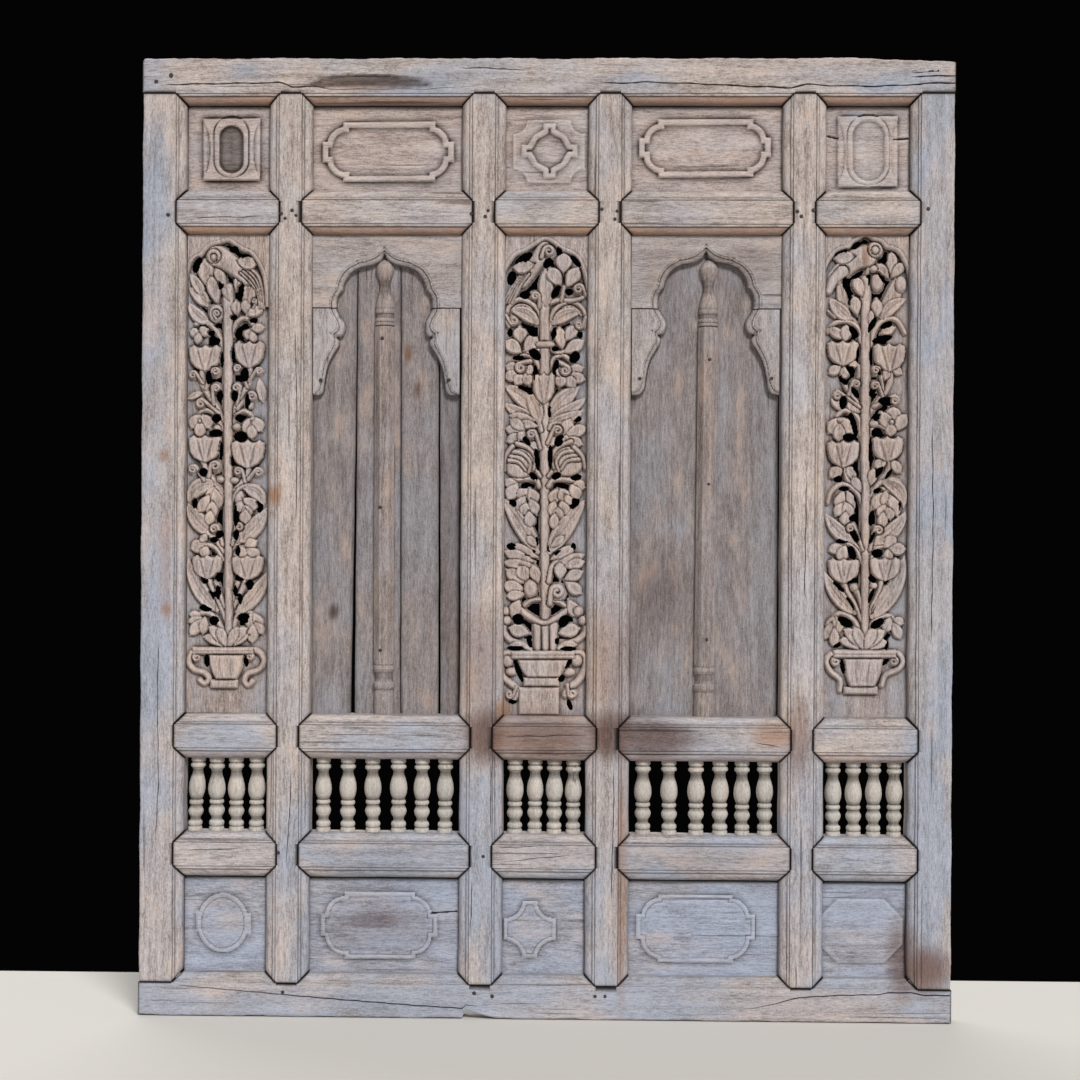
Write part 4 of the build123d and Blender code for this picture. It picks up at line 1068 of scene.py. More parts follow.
# Tree of the first bay: a straight trunk with tulips on scrolled branches. In pixels of the photo: branches
# (points, half width), leaves and petals (root, tip, half width, bow), cups (left, right, top, foot), beads
# (middle, half width, half height) and volutes (start, knob, radius, hand)
tree = trees[1]
tree.draw(
    branches=[
        ([(222, 348), (218, 335), (211, 325), (202, 319), (194, 322)], 3.2),
        ([(231, 334), (234, 323), (240, 317), (247, 317), (252, 323)], 3.2),
        ([(201, 366), (200, 380), (206, 393), (216, 408), (222, 422)], 3.4),
        ([(249, 364), (248, 380), (241, 394), (234, 408), (230, 420)], 3.4),
        ([(220, 428), (216, 416), (208, 409.5), (200, 410), (196, 416)], 3),
        ([(230, 426), (235, 414), (242, 410), (249, 413), (251, 420)], 3),
        ([(200, 457), (205, 470), (212, 480), (221, 492)], 3.2),
        ([(248, 464), (246, 475), (239, 484), (231, 492)], 3.2),
        ([(222, 500), (216, 488), (206, 482), (194, 481)], 3),
        ([(231, 500), (237, 489), (247, 485), (257, 486)], 2.6),
        ([(221, 552), (214, 540), (204, 532)], 3.2), ([(231, 552), (238, 541), (248, 535)], 3.2),
        ([(221, 560), (215, 549), (206, 545), (198, 546)], 2.8),
        ([(231, 560), (237, 549), (246, 546)], 2.8),
        ([(206, 577), (212, 592), (219, 607), (225, 622)], 3.2),
        ([(246, 577), (240, 592), (232, 607)], 3.2), ([(214, 583), (218, 594), (223, 608)], 2.6),
        ([(236, 584), (232, 595), (230, 608)], 2.6),
        ([(221, 632), (214, 619), (205, 613.5), (195, 616)], 3.2),
        ([(231, 630), (236, 617), (243, 610.5), (251, 615)], 3.2),
        ([(226, 286), (226.5, 340), (226.5, 430), (227, 520), (227.5, 645)], 5.2),
        ([(204, 652), (192, 653), (186.5, 663), (192, 671), (202, 674), (207, 680), (203, 685),
          (198, 682)], 3.6),
        ([(247, 651), (258, 653), (263, 662), (258, 671), (247, 675), (243, 682), (247, 687),
          (251, 683)], 3.6),
    ],
    leaves=[
        ((205, 303), (187, 286), 7, 0.15), ((206, 320), (187, 301), 6.5, -0.2),
        ((244, 301), (250, 278), 7.5, 0.1), ((213, 484), (187, 503), 8.5, 0.45),
        ((212, 533), (186, 504), 9, -0.18), ((244, 488), (262, 506), 7, -0.4),
        ((236, 541), (265, 509), 9, 0.16), ((215, 611), (186, 560), 8, -0.16),
        ((236, 613), (266, 573), 8, 0.16), ((200, 292), (188, 272), 5.5, 0.1),
        ((262, 400), (258, 378), 5, 0), ((186, 397), (200, 391), 3.5, 0),
    ],
    petals=[
        ((205, 284), (203, 257), 8.5), ((216, 302), (209, 274), 7), ((229, 300), (222, 281), 5),
        ((236, 314), (234, 299), 5.5), ((246, 313), (243, 298), 5), ((244, 314), (262, 306), 5.5),
        ((198, 333), (188, 329), 5), ((197, 333), (206, 327), 6), ((198, 330), (195, 342), 4.5),
        ((250, 327), (245, 337), 5.5), ((250, 328), (253, 341), 4.2), ((249, 327), (263, 326), 5),
        ((199, 413), (189, 427), 7), ((200, 413), (208, 427), 7), ((198, 419), (198, 436), 6),
        ((250, 416), (243, 432), 5.5), ((250, 416), (261, 430), 7), ((250, 422), (251, 438), 5.5),
        ((252, 401), (247, 408), 3.5), ((212, 486), (207, 500), 5.5), ((213, 487), (217, 508), 6.5),
        ((208, 494), (197, 512), 6), ((211, 500), (210, 518), 6.5), ((209, 509), (207, 525), 5.5),
        ((240, 490), (237, 505), 5), ((241, 498), (257, 508), 6.5), ((241, 500), (236, 512), 5),
        ((244, 504), (247, 517), 6), ((244, 508), (244, 524), 6), ((204, 543), (189, 549), 7),
        ((205, 541), (199, 536), 5.5), ((206, 546), (200, 557), 5.5), ((241, 545), (243, 561), 5.5),
        ((243, 547), (255, 541), 6), ((245, 548), (258, 559), 6.5), ((200, 616), (187, 615), 4),
        ((201, 618), (186, 623), 4), ((202, 619), (188, 636), 6), ((203, 617), (201, 635), 5),
        ((250, 612), (249, 631), 5), ((252, 614), (261, 628), 5.5), ((254, 622), (262, 635), 5),
        ((252, 624), (251, 644), 6), ((226, 650), (202, 638), 5.5, 0.2),
        ((226, 650), (248, 636), 5.5, -0.2), ((226, 650), (207, 628), 6, 0.15),
        ((226, 650), (246, 629), 6, -0.15), ((226, 650), (217, 628), 5.5), ((226, 650), (236, 628), 5.5),
    ],
    cups=[
        (186.5, 220.5, 343, 369), (232.5, 264, 339, 366), (186, 220.5, 434, 461), (229.5, 264, 439, 467),
        (190, 221, 555, 579), (230, 263, 555, 580),
    ],
    beads=[
        (214.5, 311.5, 7.5, 9.5), (216, 427, 4.2, 3.6), (235, 426, 4.5, 3.8), (219, 479, 4.5, 3.5),
        (233, 480, 4.5, 3.5), (198, 420, 2.5, 2.5), (251, 418, 2.5, 2.5),
    ],
    volutes=[
        ((201, 382), (191, 373.5), 5.5, -1), ((204, 388), (214, 370), 5.8, 1),
        ((246, 386), (236, 367), 5.5, -1), ((248, 380), (258, 370), 5.2, 1),
        ((212, 406), (214.5, 387), 5.8, 1), ((236, 404), (235, 386.5), 5.8, -1),
        ((217, 412), (199, 402.5), 6.5, -1), ((236, 408), (251, 395.5), 6.5, 1),
        ((202, 480), (191, 469), 6.2, -1), ((207, 476), (213.5, 465.5), 7, 1),
        ((244, 481), (237, 471), 6, -1), ((247, 479), (257.5, 472), 6, 1),
        ((221, 545), (212.5, 529), 6, -1), ((231, 545), (238, 527), 5.8, 1),
        ((214.5, 317), (215, 311.5), 5, 1), ((252, 306), (253, 299), 3.6, -1),
        ((203, 654), (195, 658.5), 5.8, -1), ((242, 654), (248.5, 657.5), 5.8, 1),
    ],
)
tree.vase((190, 253, 648, 655.5), (207, 243, 214, 236, 681), (208.5, 236.5, 681, 690))
tree.petal((224, 286), (214, 264), 5.5)
tree.petal((234, 288), (240, 272), 5)
tree.stem([(215, 253), (225, 259), (236, 267), (246, 277)], 11.5, 9.5, 7)
for offset in (-4.5, -1.5, 1.5, 4.5):
    tail = [
        (244 + offset, 268 - offset * 0.6), (253 + offset, 277 - offset * 0.5),
        (259 + offset * 0.6, 290), (261 + offset * 0.5, 306),
    ]
    tree.stem(tail, 2.2, 8.5, 1.4)
tree.petal((235, 258), (256, 260), 8, 0.1, 11)
tree.bead(212.5, 253.5, 8, 8, 10.5)
tree.bead(212.5, 255, 4, 4.5, 11.5)
tree.arched_top(curve=[
    (184, 292), (186, 276), (189, 264), (194, 257.5), (201, 254), (205, 249), (210, 244.5), (218, 242.5),
    (226.5, 240), (233, 244), (241, 249), (248, 252), (253, 257.5), (257.5, 265), (261, 275), (263, 288),
    (264, 305),
])
tree.pierce(holes=[
    (195, 262, 8, 4.5, 70), (232, 246, 4.5, 3, 0), (246, 256, 6.5, 4, -45), (219, 282, 5, 3, 90),
    (239.5, 288, 9.5, 3, 90), (232, 315, 3.5, 2.5, 0), (252, 318, 4, 2.5, 0), (216, 323, 3.2, 2.2, 0),
    (236.5, 331, 6, 3, 80), (209, 330.5, 4, 2.2, 0), (213.5, 339, 5.5, 3.4, 0), (220, 358, 8, 1.6, 90),
    (231.5, 353, 8.5, 1.7, 90), (206.5, 375, 7.5, 3.2, 90), (243, 373, 7, 4.5, 90),
    (217.5, 394, 6, 3.3, 90), (233, 394, 6, 3.6, 90), (246, 400, 8, 2.8, 90), (214.5, 417, 5, 4.2, 0),
    (238, 416.5, 5, 3.2, 0), (214, 432, 6, 3.6, 0), (239, 435.5, 7, 5, 0), (219, 449, 9, 1.8, 90),
    (230.5, 460, 5.5, 1.6, 90), (201, 471.5, 4.5, 4, 0), (192, 502.5, 5.5, 2.8, 90),
    (258, 506, 6, 3.8, 90), (218, 516, 6, 2, 90), (234, 516, 11.5, 2.8, 90), (217.5, 534, 4, 3.4, 0),
    (234.5, 535, 5, 3.4, 90), (212, 540, 4, 2.6, 0), (236, 551, 5, 2.8, 90), (202, 580.5, 5, 3.2, 0),
    (216, 577.5, 4.5, 2.8, 90), (238, 578, 5, 2.8, 0), (248, 585, 5, 3.8, 90), (216, 593, 7, 2.8, 90),
    (233.5, 591.5, 5.5, 2.3, 90), (208.5, 597.5, 6.5, 3.2, 90), (238.5, 599.5, 5.5, 2.4, 90),
    (204, 608.5, 7, 3.2, 0), (212, 621.5, 5, 4.2, 0), (242.5, 619, 6.5, 4.6, 0), (204.5, 662, 6, 3, 90),
    (244.5, 662.5, 5.5, 2.4, 90),
])

# Tree of the middle bay: broad curled leaves, rosettes and hanging bunches
tree = trees[3]
tree.draw(
    branches=[
        ([(544, 328), (542, 313), (534, 303), (522, 298), (512, 303), (507, 315), (510, 325)], 3),
        ([(550, 328), (554, 313), (562, 304), (572, 300), (582, 305), (588, 316), (586, 326)], 3),
        ([(541, 322), (536, 312), (529, 305), (520, 304), (513, 309)], 1.8),
        ([(554, 322), (560, 312), (568, 306), (577, 307), (583, 314)], 1.8),
        ([(551, 302), (561, 299), (574, 299.5), (585, 296), (588, 287)], 3),
        ([(566, 286), (563, 300)], 2.6), ([(545, 312), (541, 304), (540, 298)], 2.4),
        ([(541, 366), (535, 357), (526, 354), (519, 359)], 3),
        ([(551, 366), (556, 358), (564, 354), (572, 359)], 3),
        ([(542, 348), (533, 352), (526, 350)], 2.4), ([(552, 348), (560, 352), (568, 350)], 2.4),
        ([(546, 286), (546.5, 340), (546.5, 420), (546.5, 520), (547, 650)], 5.4),
        ([(541, 486), (538, 480), (528, 478.5), (518, 479), (508, 480.5)], 3.2),
        ([(550, 486), (554, 480.5), (562, 479), (573, 480), (585, 483.5)], 3.2),
        ([(543, 430), (540, 420), (534, 412)], 3), ([(551, 428), (555, 420), (560, 414)], 3),
        ([(542, 476), (536, 468)], 2.6), ([(550, 476), (556, 468)], 2.6),
        ([(550, 582), (553, 568), (560, 561), (567, 564)], 3),
        ([(541, 600), (533, 601), (526, 606)], 2.4), ([(552, 600), (560, 602), (568, 607)], 2.4),
        ([(506, 619), (505, 632), (512, 641), (523, 645), (532, 651)], 4),
        ([(587, 619), (588, 632), (579, 641), (567, 645), (559, 651)], 4),
        ([(513, 655), (505, 656), (502.5, 666), (505, 678), (514, 686), (520, 692), (515, 700)], 4.2),
        ([(577, 655), (586, 657), (587, 670), (580, 682), (571, 689), (567, 696)], 4.6),
        ([(539, 626), (539, 651)], 4.6), ([(547, 626), (547, 651)], 4.6), ([(555, 626), (555, 651)], 4.6),
        ([(520, 609), (532, 618), (546, 623.5), (559, 618), (571, 609)], 3.6),
    ],
    leaves=[
        ((538, 322), (513, 309), 7, 0.25), ((556, 322), (583, 311), 7, -0.25),
        ((539, 552), (504, 498), 9, 0.03), ((551, 552), (586, 501), 9.5, -0.03),
        ((548, 304), (547, 268), 7.5, 0), ((538, 412), (507, 386), 9, 0.15),
        ((537, 418), (506, 403), 6.5, -0.1), ((541, 422), (529, 391), 7.5, 0.1),
        ((553, 414), (580, 387), 9, -0.1), ((553, 418), (587, 398), 6.5, 0.1),
        ((553, 421), (584, 410), 7, 0.2),
    ],
    petals=[
        ((565, 272), (566, 252), 8.5), ((563, 285), (551, 267), 7.5), ((568, 286), (580, 267), 7.5),
        ((522, 342), (521, 326), 7.5), ((523, 352), (507, 340), 7.5), ((526, 351), (538, 335), 7.5),
        ((564, 348), (561, 327), 6.5), ((567, 340), (578, 325), 6.5), ((566, 352), (585, 340), 7),
        ((522, 370), (507, 365), 6), ((522, 372), (506, 377), 6), ((524, 372), (517, 384), 6),
        ((527, 371), (531, 384), 6), ((526, 368), (535, 370), 5.5), ((567, 372), (585, 367), 6),
        ((567, 374), (587, 379), 6), ((566, 374), (577, 386), 6), ((564, 372), (561, 386), 6.5),
        ((565, 370), (557, 371), 5.5), ((538, 420), (511, 415), 5.5), ((540, 426), (520, 422), 5),
        ((528, 432), (507, 428), 6), ((527, 430), (512, 419), 6), ((526, 434), (508, 441), 6),
        ((528, 432), (519, 438), 5), ((565, 436), (572, 419), 7), ((566, 436), (588, 427), 6.5),
        ((566, 438), (584, 444), 6), ((562, 438), (571, 440), 5), ((541, 450), (532, 442), 4.5),
        ((549, 447), (557, 437), 4.8), ((519, 482), (506, 484), 5.5), ((519, 483), (509, 499), 7),
        ((574, 484), (587, 487), 6), ((573, 484), (580, 499), 7), ((530, 489), (519, 497), 6),
        ((531, 488), (538, 503), 6.5), ((527, 495), (518, 510), 5.5), ((532, 498), (538, 514), 6),
        ((528, 502), (525, 515), 6), ((530, 510), (532, 527), 6), ((560, 488), (553, 503), 6.5),
        ((562, 488), (568, 501), 7), ((566, 494), (574, 505), 5), ((557, 500), (552, 515), 5.5),
        ((563, 500), (567, 515), 6.5), ((560, 506), (560, 520), 6), ((557, 512), (555, 529), 5.5),
        ((540, 558), (514, 545), 5.5), ((552, 560), (577, 547), 5.5), ((556, 566), (586, 555), 5.5),
        ((540, 548), (528, 536), 4.5), ((552, 548), (566, 536), 4.5), ((536, 562), (506, 552), 6.5),
        ((537, 566), (505, 563), 5.5), ((526, 584), (508, 570), 7), ((529, 582), (521, 566), 7.5),
        ((526, 590), (505, 585), 7), ((527, 594), (508, 597), 5.5), ((540, 584), (534, 566), 6),
        ((562, 580), (562, 563), 6.5), ((566, 567), (586, 562), 6), ((566, 580), (584, 572), 6.5),
        ((567, 582), (583, 594), 6.5), ((521, 600), (513, 617), 6.5), ((570, 600), (579, 617), 6.5),
        ((531, 634), (511, 629), 7), ((560, 634), (581, 629), 7), ((528, 645), (511, 646), 4),
        ((562, 645), (579, 645), 4),
    ],
    beads=[
        (546.5, 343.5, 10, 4), (521.5, 463, 17, 15.5, 7.5), (568.5, 461, 17.5, 15.5, 7.5),
        (532, 589, 7, 9.5), (507, 612, 4.5, 5), (580, 612, 5.5, 5.5), (509, 662, 6, 6.5, 9.5),
        (579, 661, 6, 6.5, 9.5), (513, 672.5, 6.5, 4.5), (570, 673, 7, 4.5), (508, 621, 5, 5),
        (585, 621, 5, 5),
    ],
    volutes=[
        ((507, 314), (515, 319.5), 6, -1), ((588, 316), (581, 324), 5.5, 1),
        ((588, 294), (580.5, 288), 7, -1), ((541, 306), (537, 295), 6, -1),
        ((542, 448), (533, 434), 6.5, -1), ((549, 443), (559.5, 430), 6.5, 1),
        ((551, 604), (559, 592.5), 9.5, 1), ((532, 360), (522, 367), 7, -1),
        ((558, 360), (567, 370), 7, 1), ((518, 688), (511, 695.5), 5.5, 1),
        ((569, 686), (574, 694.5), 6, -1),
    ],
)
tree.cup(534, 557, 371, 403)
for arc in (
    [(518, 443), (530, 448), (537, 458), (535, 469)], [(514, 451), (525, 454), (532, 463), (530, 472)],
    [(509, 460), (520, 462), (527, 470)], [(573, 441), (560, 447), (553.5, 457), (556, 468)],
    [(577, 450), (564, 453), (558, 462), (561, 471)], [(581, 459), (569, 461), (563, 469)],
    [(514, 446), (507, 456), (506, 470)], [(576, 447), (584, 456), (587, 468)],
):
    tree.stem(arc, 3, 9.5, 2)
tree.vase((512, 577, 651, 660), (519, 572, 529, 561, 679), (525, 561, 678, 687.5))
tree.lay((slice(None), slice(None)), tree.box(520, 561, 688, 716.5, 1), 7.0 + 0 * tree.across)
tree.stem([(546, 247), (540, 257), (533, 268), (524, 280)], 8, 9.5, 7)
for offset in (-4, -1, 2, 5):
    tail = [(526 + offset, 274 - offset * 0.3), (517 + offset, 286 - offset * 0.3), (508 + offset, 302)]
    tree.stem(tail, 2.2, 8.5, 1.5)
tree.petal((537, 262), (515, 266), 7.5, -0.1, 11)
tree.volute((543, 256), (550.5, 250), 8, 1, 10.5)
tree.arched_top(curve=[
    (502, 295), (504, 280), (508, 270), (513, 261.5), (519, 254.5), (527, 251.5), (533, 247.5),
    (540, 243.5), (547, 239.5), (555, 243.5), (561.5, 249), (569, 252), (576, 256), (581, 263),
    (584.5, 273), (587, 285), (589, 297),
])
tree.pierce(holes=[
    (525, 257, 10, 4.5, 35), (513, 276, 7, 4, 80), (526.5, 293, 5, 4, 0), (549.5, 261, 5.5, 3.5, 60),
    (561, 248.5, 5, 2.3, 90), (577.5, 259, 7.5, 2.5, -50), (557.5, 290, 7.5, 3, 60),
    (571, 290, 4, 3.2, 0), (511.5, 331, 4, 2.3, 90), (534.5, 331, 5.5, 3.5, -40),
    (555.5, 332.5, 4.5, 2.3, 90), (582, 333.5, 3.2, 2.4, 90), (536.5, 353, 7, 4.2, -50),
    (557, 347.5, 3.5, 2.5, 0), (520, 356.5, 5.5, 2.2, 0), (576.5, 356, 6, 4.5, 60),
    (537, 372, 8, 1.8, 90), (557.5, 366, 7.5, 2.5, 80), (527, 389, 8, 2.8, -30), (540.5, 411, 8, 1.8, 90),
    (551.5, 411, 5.5, 1.6, 90), (578.5, 418, 4.5, 2.8, 0), (528, 440, 5.5, 2.2, -55),
    (538.5, 458, 12, 1.8, -85), (552, 456, 12, 1.8, 90), (561, 440, 6, 4, 60), (535, 476, 5, 2.5, -50),
    (527, 485, 4.3, 2.3, 15), (558, 475.5, 4.5, 3, 30), (578, 477, 5, 2.7, 10), (563, 485, 6.3, 2.2, -12),
    (514.5, 503, 4, 3, -40), (576.5, 503, 6, 3.8, 60), (537, 545, 8, 2, 80), (552, 548, 3.7, 2.5, 60),
    (513, 546.5, 4.5, 3, 0), (575.5, 546.5, 3, 2, 90), (528.5, 553, 3.5, 2.3, -30),
    (561, 553.5, 4.3, 2.3, 10), (519.5, 620, 5.5, 5, -45), (565.5, 622, 6, 4.3, 60),
    (531, 643, 5, 2, -75), (558.5, 642, 3.2, 1.6, 90), (517, 649, 8.5, 2, 0), (570, 649.5, 8, 1.8, 0),
    (520, 672, 12, 2.3, -70), (569.5, 665, 6, 2, 50), (563.5, 679.5, 3.7, 2.5, 60), (514, 703, 4, 1.8, 0),
    (571.5, 706, 5.5, 2, -70),
])

# Tree of the fifth bay: like the first, with bunches under its lower branches
tree = trees[5]
tree.draw(
    branches=[
        ([(866, 340), (858, 323), (848, 316.5), (838, 316.5), (831, 311)], 2.4),
        ([(864, 342), (861, 329), (853, 322), (843, 321), (834, 325), (830, 332)], 3),
        ([(872, 345), (876, 331), (883, 322), (892, 318.5), (900, 321), (907, 333)], 3.2),
        ([(869, 290), (869, 276), (872, 264)], 2.6),
        ([(845, 364), (844, 373), (848, 386), (856, 398), (866, 412)], 3.2),
        ([(861, 366), (861, 377), (853, 389)], 2.6),
        ([(892, 368), (893, 379), (889, 390), (880, 402), (872, 413)], 3.2),
        ([(864, 434), (861, 419), (853, 411.5), (845, 410.5), (840, 416)], 3.2),
        ([(872, 434), (877, 425), (886, 427), (894, 432)], 2.8),
        ([(846, 466), (850, 480), (858, 491), (866, 503)], 3.2),
        ([(891, 460), (890, 472), (883, 481), (873, 492)], 3.2),
        ([(866, 505), (858, 491), (848, 484.5), (840, 486), (833, 493), (830, 503)], 3),
        ([(872, 500), (880, 485), (890, 480), (900, 481), (907, 490)], 3),
        ([(873, 512), (876, 497), (884, 489), (891, 492)], 2.4),
        ([(866, 556), (858, 546), (848, 540)], 3.2), ([(872, 556), (880, 546), (888, 541)], 3),
        ([(865, 564), (859, 551), (851, 544), (842, 544)], 2.8),
        ([(872, 562), (879, 549), (889, 545)], 2.8),
        ([(845, 580), (850, 593), (858, 607), (866, 625)], 3.2),
        ([(884, 578), (882, 591), (877, 603), (870, 616)], 3.2),
        ([(857, 588), (862, 598), (865, 612)], 3), ([(876, 586), (872, 596), (869, 608)], 3),
        ([(889, 588), (883, 597), (875, 610)], 2.2),
        ([(863, 636), (858, 623), (850, 615.5), (842, 613.5), (836, 618)], 3.2),
        ([(871, 634), (876, 622), (885, 616.5), (893, 617), (898, 623)], 3.2),
        ([(868, 280), (868, 340), (867.5, 430), (868, 520), (867, 648)], 5.2),
        ([(846, 655), (834, 655), (829, 662), (833, 672), (842, 680), (842, 691)], 3.6),
        ([(888, 655), (900, 654), (905, 662), (900, 670), (888, 676), (884, 686)], 3.6),
    ],
    leaves=[
        ((847, 313), (841, 281), 7, 0.1), ((853, 318), (833, 298), 7.5, -0.15),
        ((884, 316), (903, 272), 8, 0.1), ((885, 318), (908, 299), 6.5, -0.2),
        ((886, 482), (906, 507), 7.5, -0.4), ((854, 541), (829, 515), 7.5, -0.16),
        ((877, 543), (908, 513), 8, 0.18), ((857, 613), (827, 573), 7.5, -0.14),
        ((875, 617), (907, 557), 9.5, 0.14),
    ],
    petals=[
        ((865, 297), (858, 277), 6), ((860, 315), (855, 296), 6.5), ((880, 317), (879, 299), 6),
        ((872, 327), (874, 310), 3.6), ((894, 276), (894, 252), 6), ((891, 278), (880, 264), 5.5),
        ((893, 278), (906, 263), 5.5), ((849, 339), (831, 328), 5.5), ((847, 342), (849, 325), 6),
        ((898, 327), (884, 333), 5.5), ((845, 366), (831, 373), 5.5), ((846, 365), (847, 379), 5),
        ((849, 367), (860, 362), 4.5), ((890, 366), (887, 380), 5), ((893, 366), (904, 374), 4.5),
        ((843, 411), (835, 397), 4.5), ((863, 413), (849, 402), 5), ((843, 417), (831, 433), 7),
        ((842, 417), (854, 433), 7), ((842, 422), (841, 441), 6.5), ((896, 426), (896, 407), 8),
        ((893, 430), (884, 413), 7), ((897, 431), (909, 415), 7), ((893, 422), (893, 436), 6),
        ((846, 466), (832, 477), 6.5), ((848, 466), (859, 478), 6), ((890, 459), (877, 467), 5.5),
        ((893, 459), (903, 473), 5.5), ((864, 493), (855, 477), 5), ((873, 486), (876, 469), 5.5),
        ((846, 491), (840, 509), 6), ((850, 491), (857, 511), 6), ((846, 502), (838, 516), 5.5),
        ((848, 501), (852, 518), 6.5), ((848, 511), (847, 525), 5.5), ((886, 492), (876, 509), 7),
        ((888, 490), (888, 508), 6), ((892, 494), (900, 516), 7), ((888, 504), (881, 517), 5.5),
        ((890, 506), (893, 520), 5.5), ((886, 511), (884, 528), 5.5), ((847, 546), (831, 551), 5.5),
        ((848, 545), (842, 561), 6.5), ((886, 548), (898, 537), 6.5), ((889, 550), (908, 549), 6.5),
        ((890, 549), (891, 562), 5.5), ((838, 616), (842, 633), 5.5), ((836, 616), (831, 632), 5.5),
        ((834, 622), (827, 640), 5), ((837, 627), (836, 647), 5.5), ((893, 617), (888, 632), 6),
        ((895, 619), (906, 624), 5), ((895, 622), (903, 639), 5.5), ((867, 652), (842, 641), 5.5, 0.2),
        ((867, 652), (891, 643), 5.5, -0.2), ((867, 652), (847, 630), 6.5, 0.15),
        ((867, 652), (887, 631), 6.5, -0.15), ((867, 652), (857, 627), 6), ((867, 652), (877, 627), 6),
    ],
    cups=[
        (829, 861.5, 340, 365), (875, 908, 343, 371), (829, 862, 440, 467), (873.5, 906, 436, 461),
        (830, 862, 558, 583), (871.5, 903, 557, 581),
    ],
    beads=[
        (903, 284.5, 6, 9), (879.5, 282.5, 6.5, 9), (874, 260, 4, 4.5), (876, 268.5, 4.5, 4),
        (876.5, 424, 5, 4), (894, 422, 3, 3), (842, 420, 3, 3), (856.5, 588, 4.2, 4.2), (876, 586, 4, 4),
    ],
    volutes=[
        ((885, 390), (878.5, 370), 5.8, -1), ((850, 398), (858.5, 384), 5.8, 1),
        ((886, 400), (877.5, 386), 5.8, -1), ((862, 407), (840, 395.5), 6, -1),
        ((876, 407), (897, 400.5), 6.5, 1), ((865, 550), (853, 528.5), 6, -1),
        ((872, 550), (881, 530.5), 6, 1), ((847, 656), (838, 662), 6.2, -1),
        ((887, 656), (896, 661.5), 6.2, 1),
    ],
)
tree.vase((835, 899, 650, 658.5), (846, 886, 852, 877, 688), (846, 880, 687, 695))
tree.stem([(868, 256), (858, 259), (848, 267), (838, 277)], 11.5, 9.5, 8)
tree.stem([(845, 271), (836, 280), (831, 291)], 7, 8.5, 4)
tree.petal((858, 256), (837, 258), 7.5, 0, 11)
tree.bead(877.5, 249.5, 8, 8.5, 10.5)
tree.bead(877.5, 250, 4.5, 5, 11.5)
tree.arched_top(curve=[
    (825, 292), (827, 276), (831, 264), (837, 255.5), (843, 251), (851, 249), (856, 244), (862, 240),
    (868, 236.5), (875, 240.5), (882, 243), (887, 248.5), (895, 250.5), (901, 255), (905, 263),
    (909, 273), (912, 290),
])
tree.pierce(holes=[
    (859, 244.5, 5.5, 2.5, 40), (844, 252, 7.5, 2.2, 25), (850, 290, 15, 4, -80), (861, 274, 5.5, 2, 35),
    (870.5, 280, 6, 2.6, 80), (884.5, 276, 6.5, 2.5, -65), (888, 257, 6, 2, 85), (875, 324, 9, 2.5, 60),
    (856.5, 331, 6.5, 3.5, -50), (889.5, 324.5, 6.5, 2.8, 25), (885, 338.5, 10.5, 3, 15),
    (860.5, 354, 8, 1.5, 85), (874, 356, 9.5, 1.6, 90), (853.5, 369, 5, 3.4, -40),
    (846, 380, 5.5, 2.6, -50), (881, 371, 4, 2, -50), (858, 392, 6.5, 2.8, -55), (876, 390, 6.5, 2.6, 60),
    (846, 402, 6.5, 3.8, 80), (889.5, 401, 8.5, 4, 0), (856.5, 424, 12, 3, -75), (852, 437, 6.5, 3.5, 0),
    (880.5, 417, 4.5, 2.2, 40), (879.5, 432, 5.5, 4, 20), (873.5, 453, 16, 1.7, 90),
    (858.5, 469, 7.5, 2.3, -85), (881.5, 472, 6.5, 2.8, 50), (891.5, 474, 5.5, 1.8, 50),
    (841, 479, 4.5, 2.8, 0), (847, 488.5, 5, 1.9, 0), (880, 490.5, 4.5, 2, 20),
    (858.5, 505, 10, 1.8, -85), (856, 518, 4.5, 3, 0), (874, 518, 7.5, 2.7, 80), (902, 506, 6, 1.8, 70),
    (857, 535, 8, 3, -60), (845, 541, 6, 2, 0), (875, 538, 7, 1.7, 65), (855, 553, 7, 3.6, -70),
    (880, 553.5, 5.5, 4, 0), (841.5, 587, 7.5, 2, -40), (855, 581, 5, 2, 20),
    (875.5, 579.5, 4.5, 2.6, -30), (890, 582.5, 3.2, 2.3, 0), (853, 604, 7.5, 2.2, -60),
    (874, 596, 8, 2, 70), (882, 602, 14, 1.5, 60), (848, 622.5, 8.5, 4, -25), (880, 624, 7.5, 4, 30),
    (890, 637, 4, 1.8, 40), (840, 646, 4, 1.9, 20), (889.5, 646, 5, 1.5, 85), (845.5, 667, 7.5, 2, -80),
    (888.5, 662.5, 4.5, 1.8, 45),
])
for number, tree in trees.items():
    bare = np.clip(-tree.cover / 2, 0, 1)
    tree.bleach = 0.7 * bare * np.clip(np.abs(tree.across - tree.across.mean()) / 30, 0, 1) ** 2
    # The bare sunk ground between the motifs is darkened, partly real soiling and partly painted shade.
    tree.grime = 0.16 * bare
    piece = tree.board(tree_board_face, tree_board_back, 550 + number, 60, 2.6, 4.0)
    node = "tree_panel_" + str(number)
    fitted(piece, node + "_carving", carved_wood, "carved_wood", node)

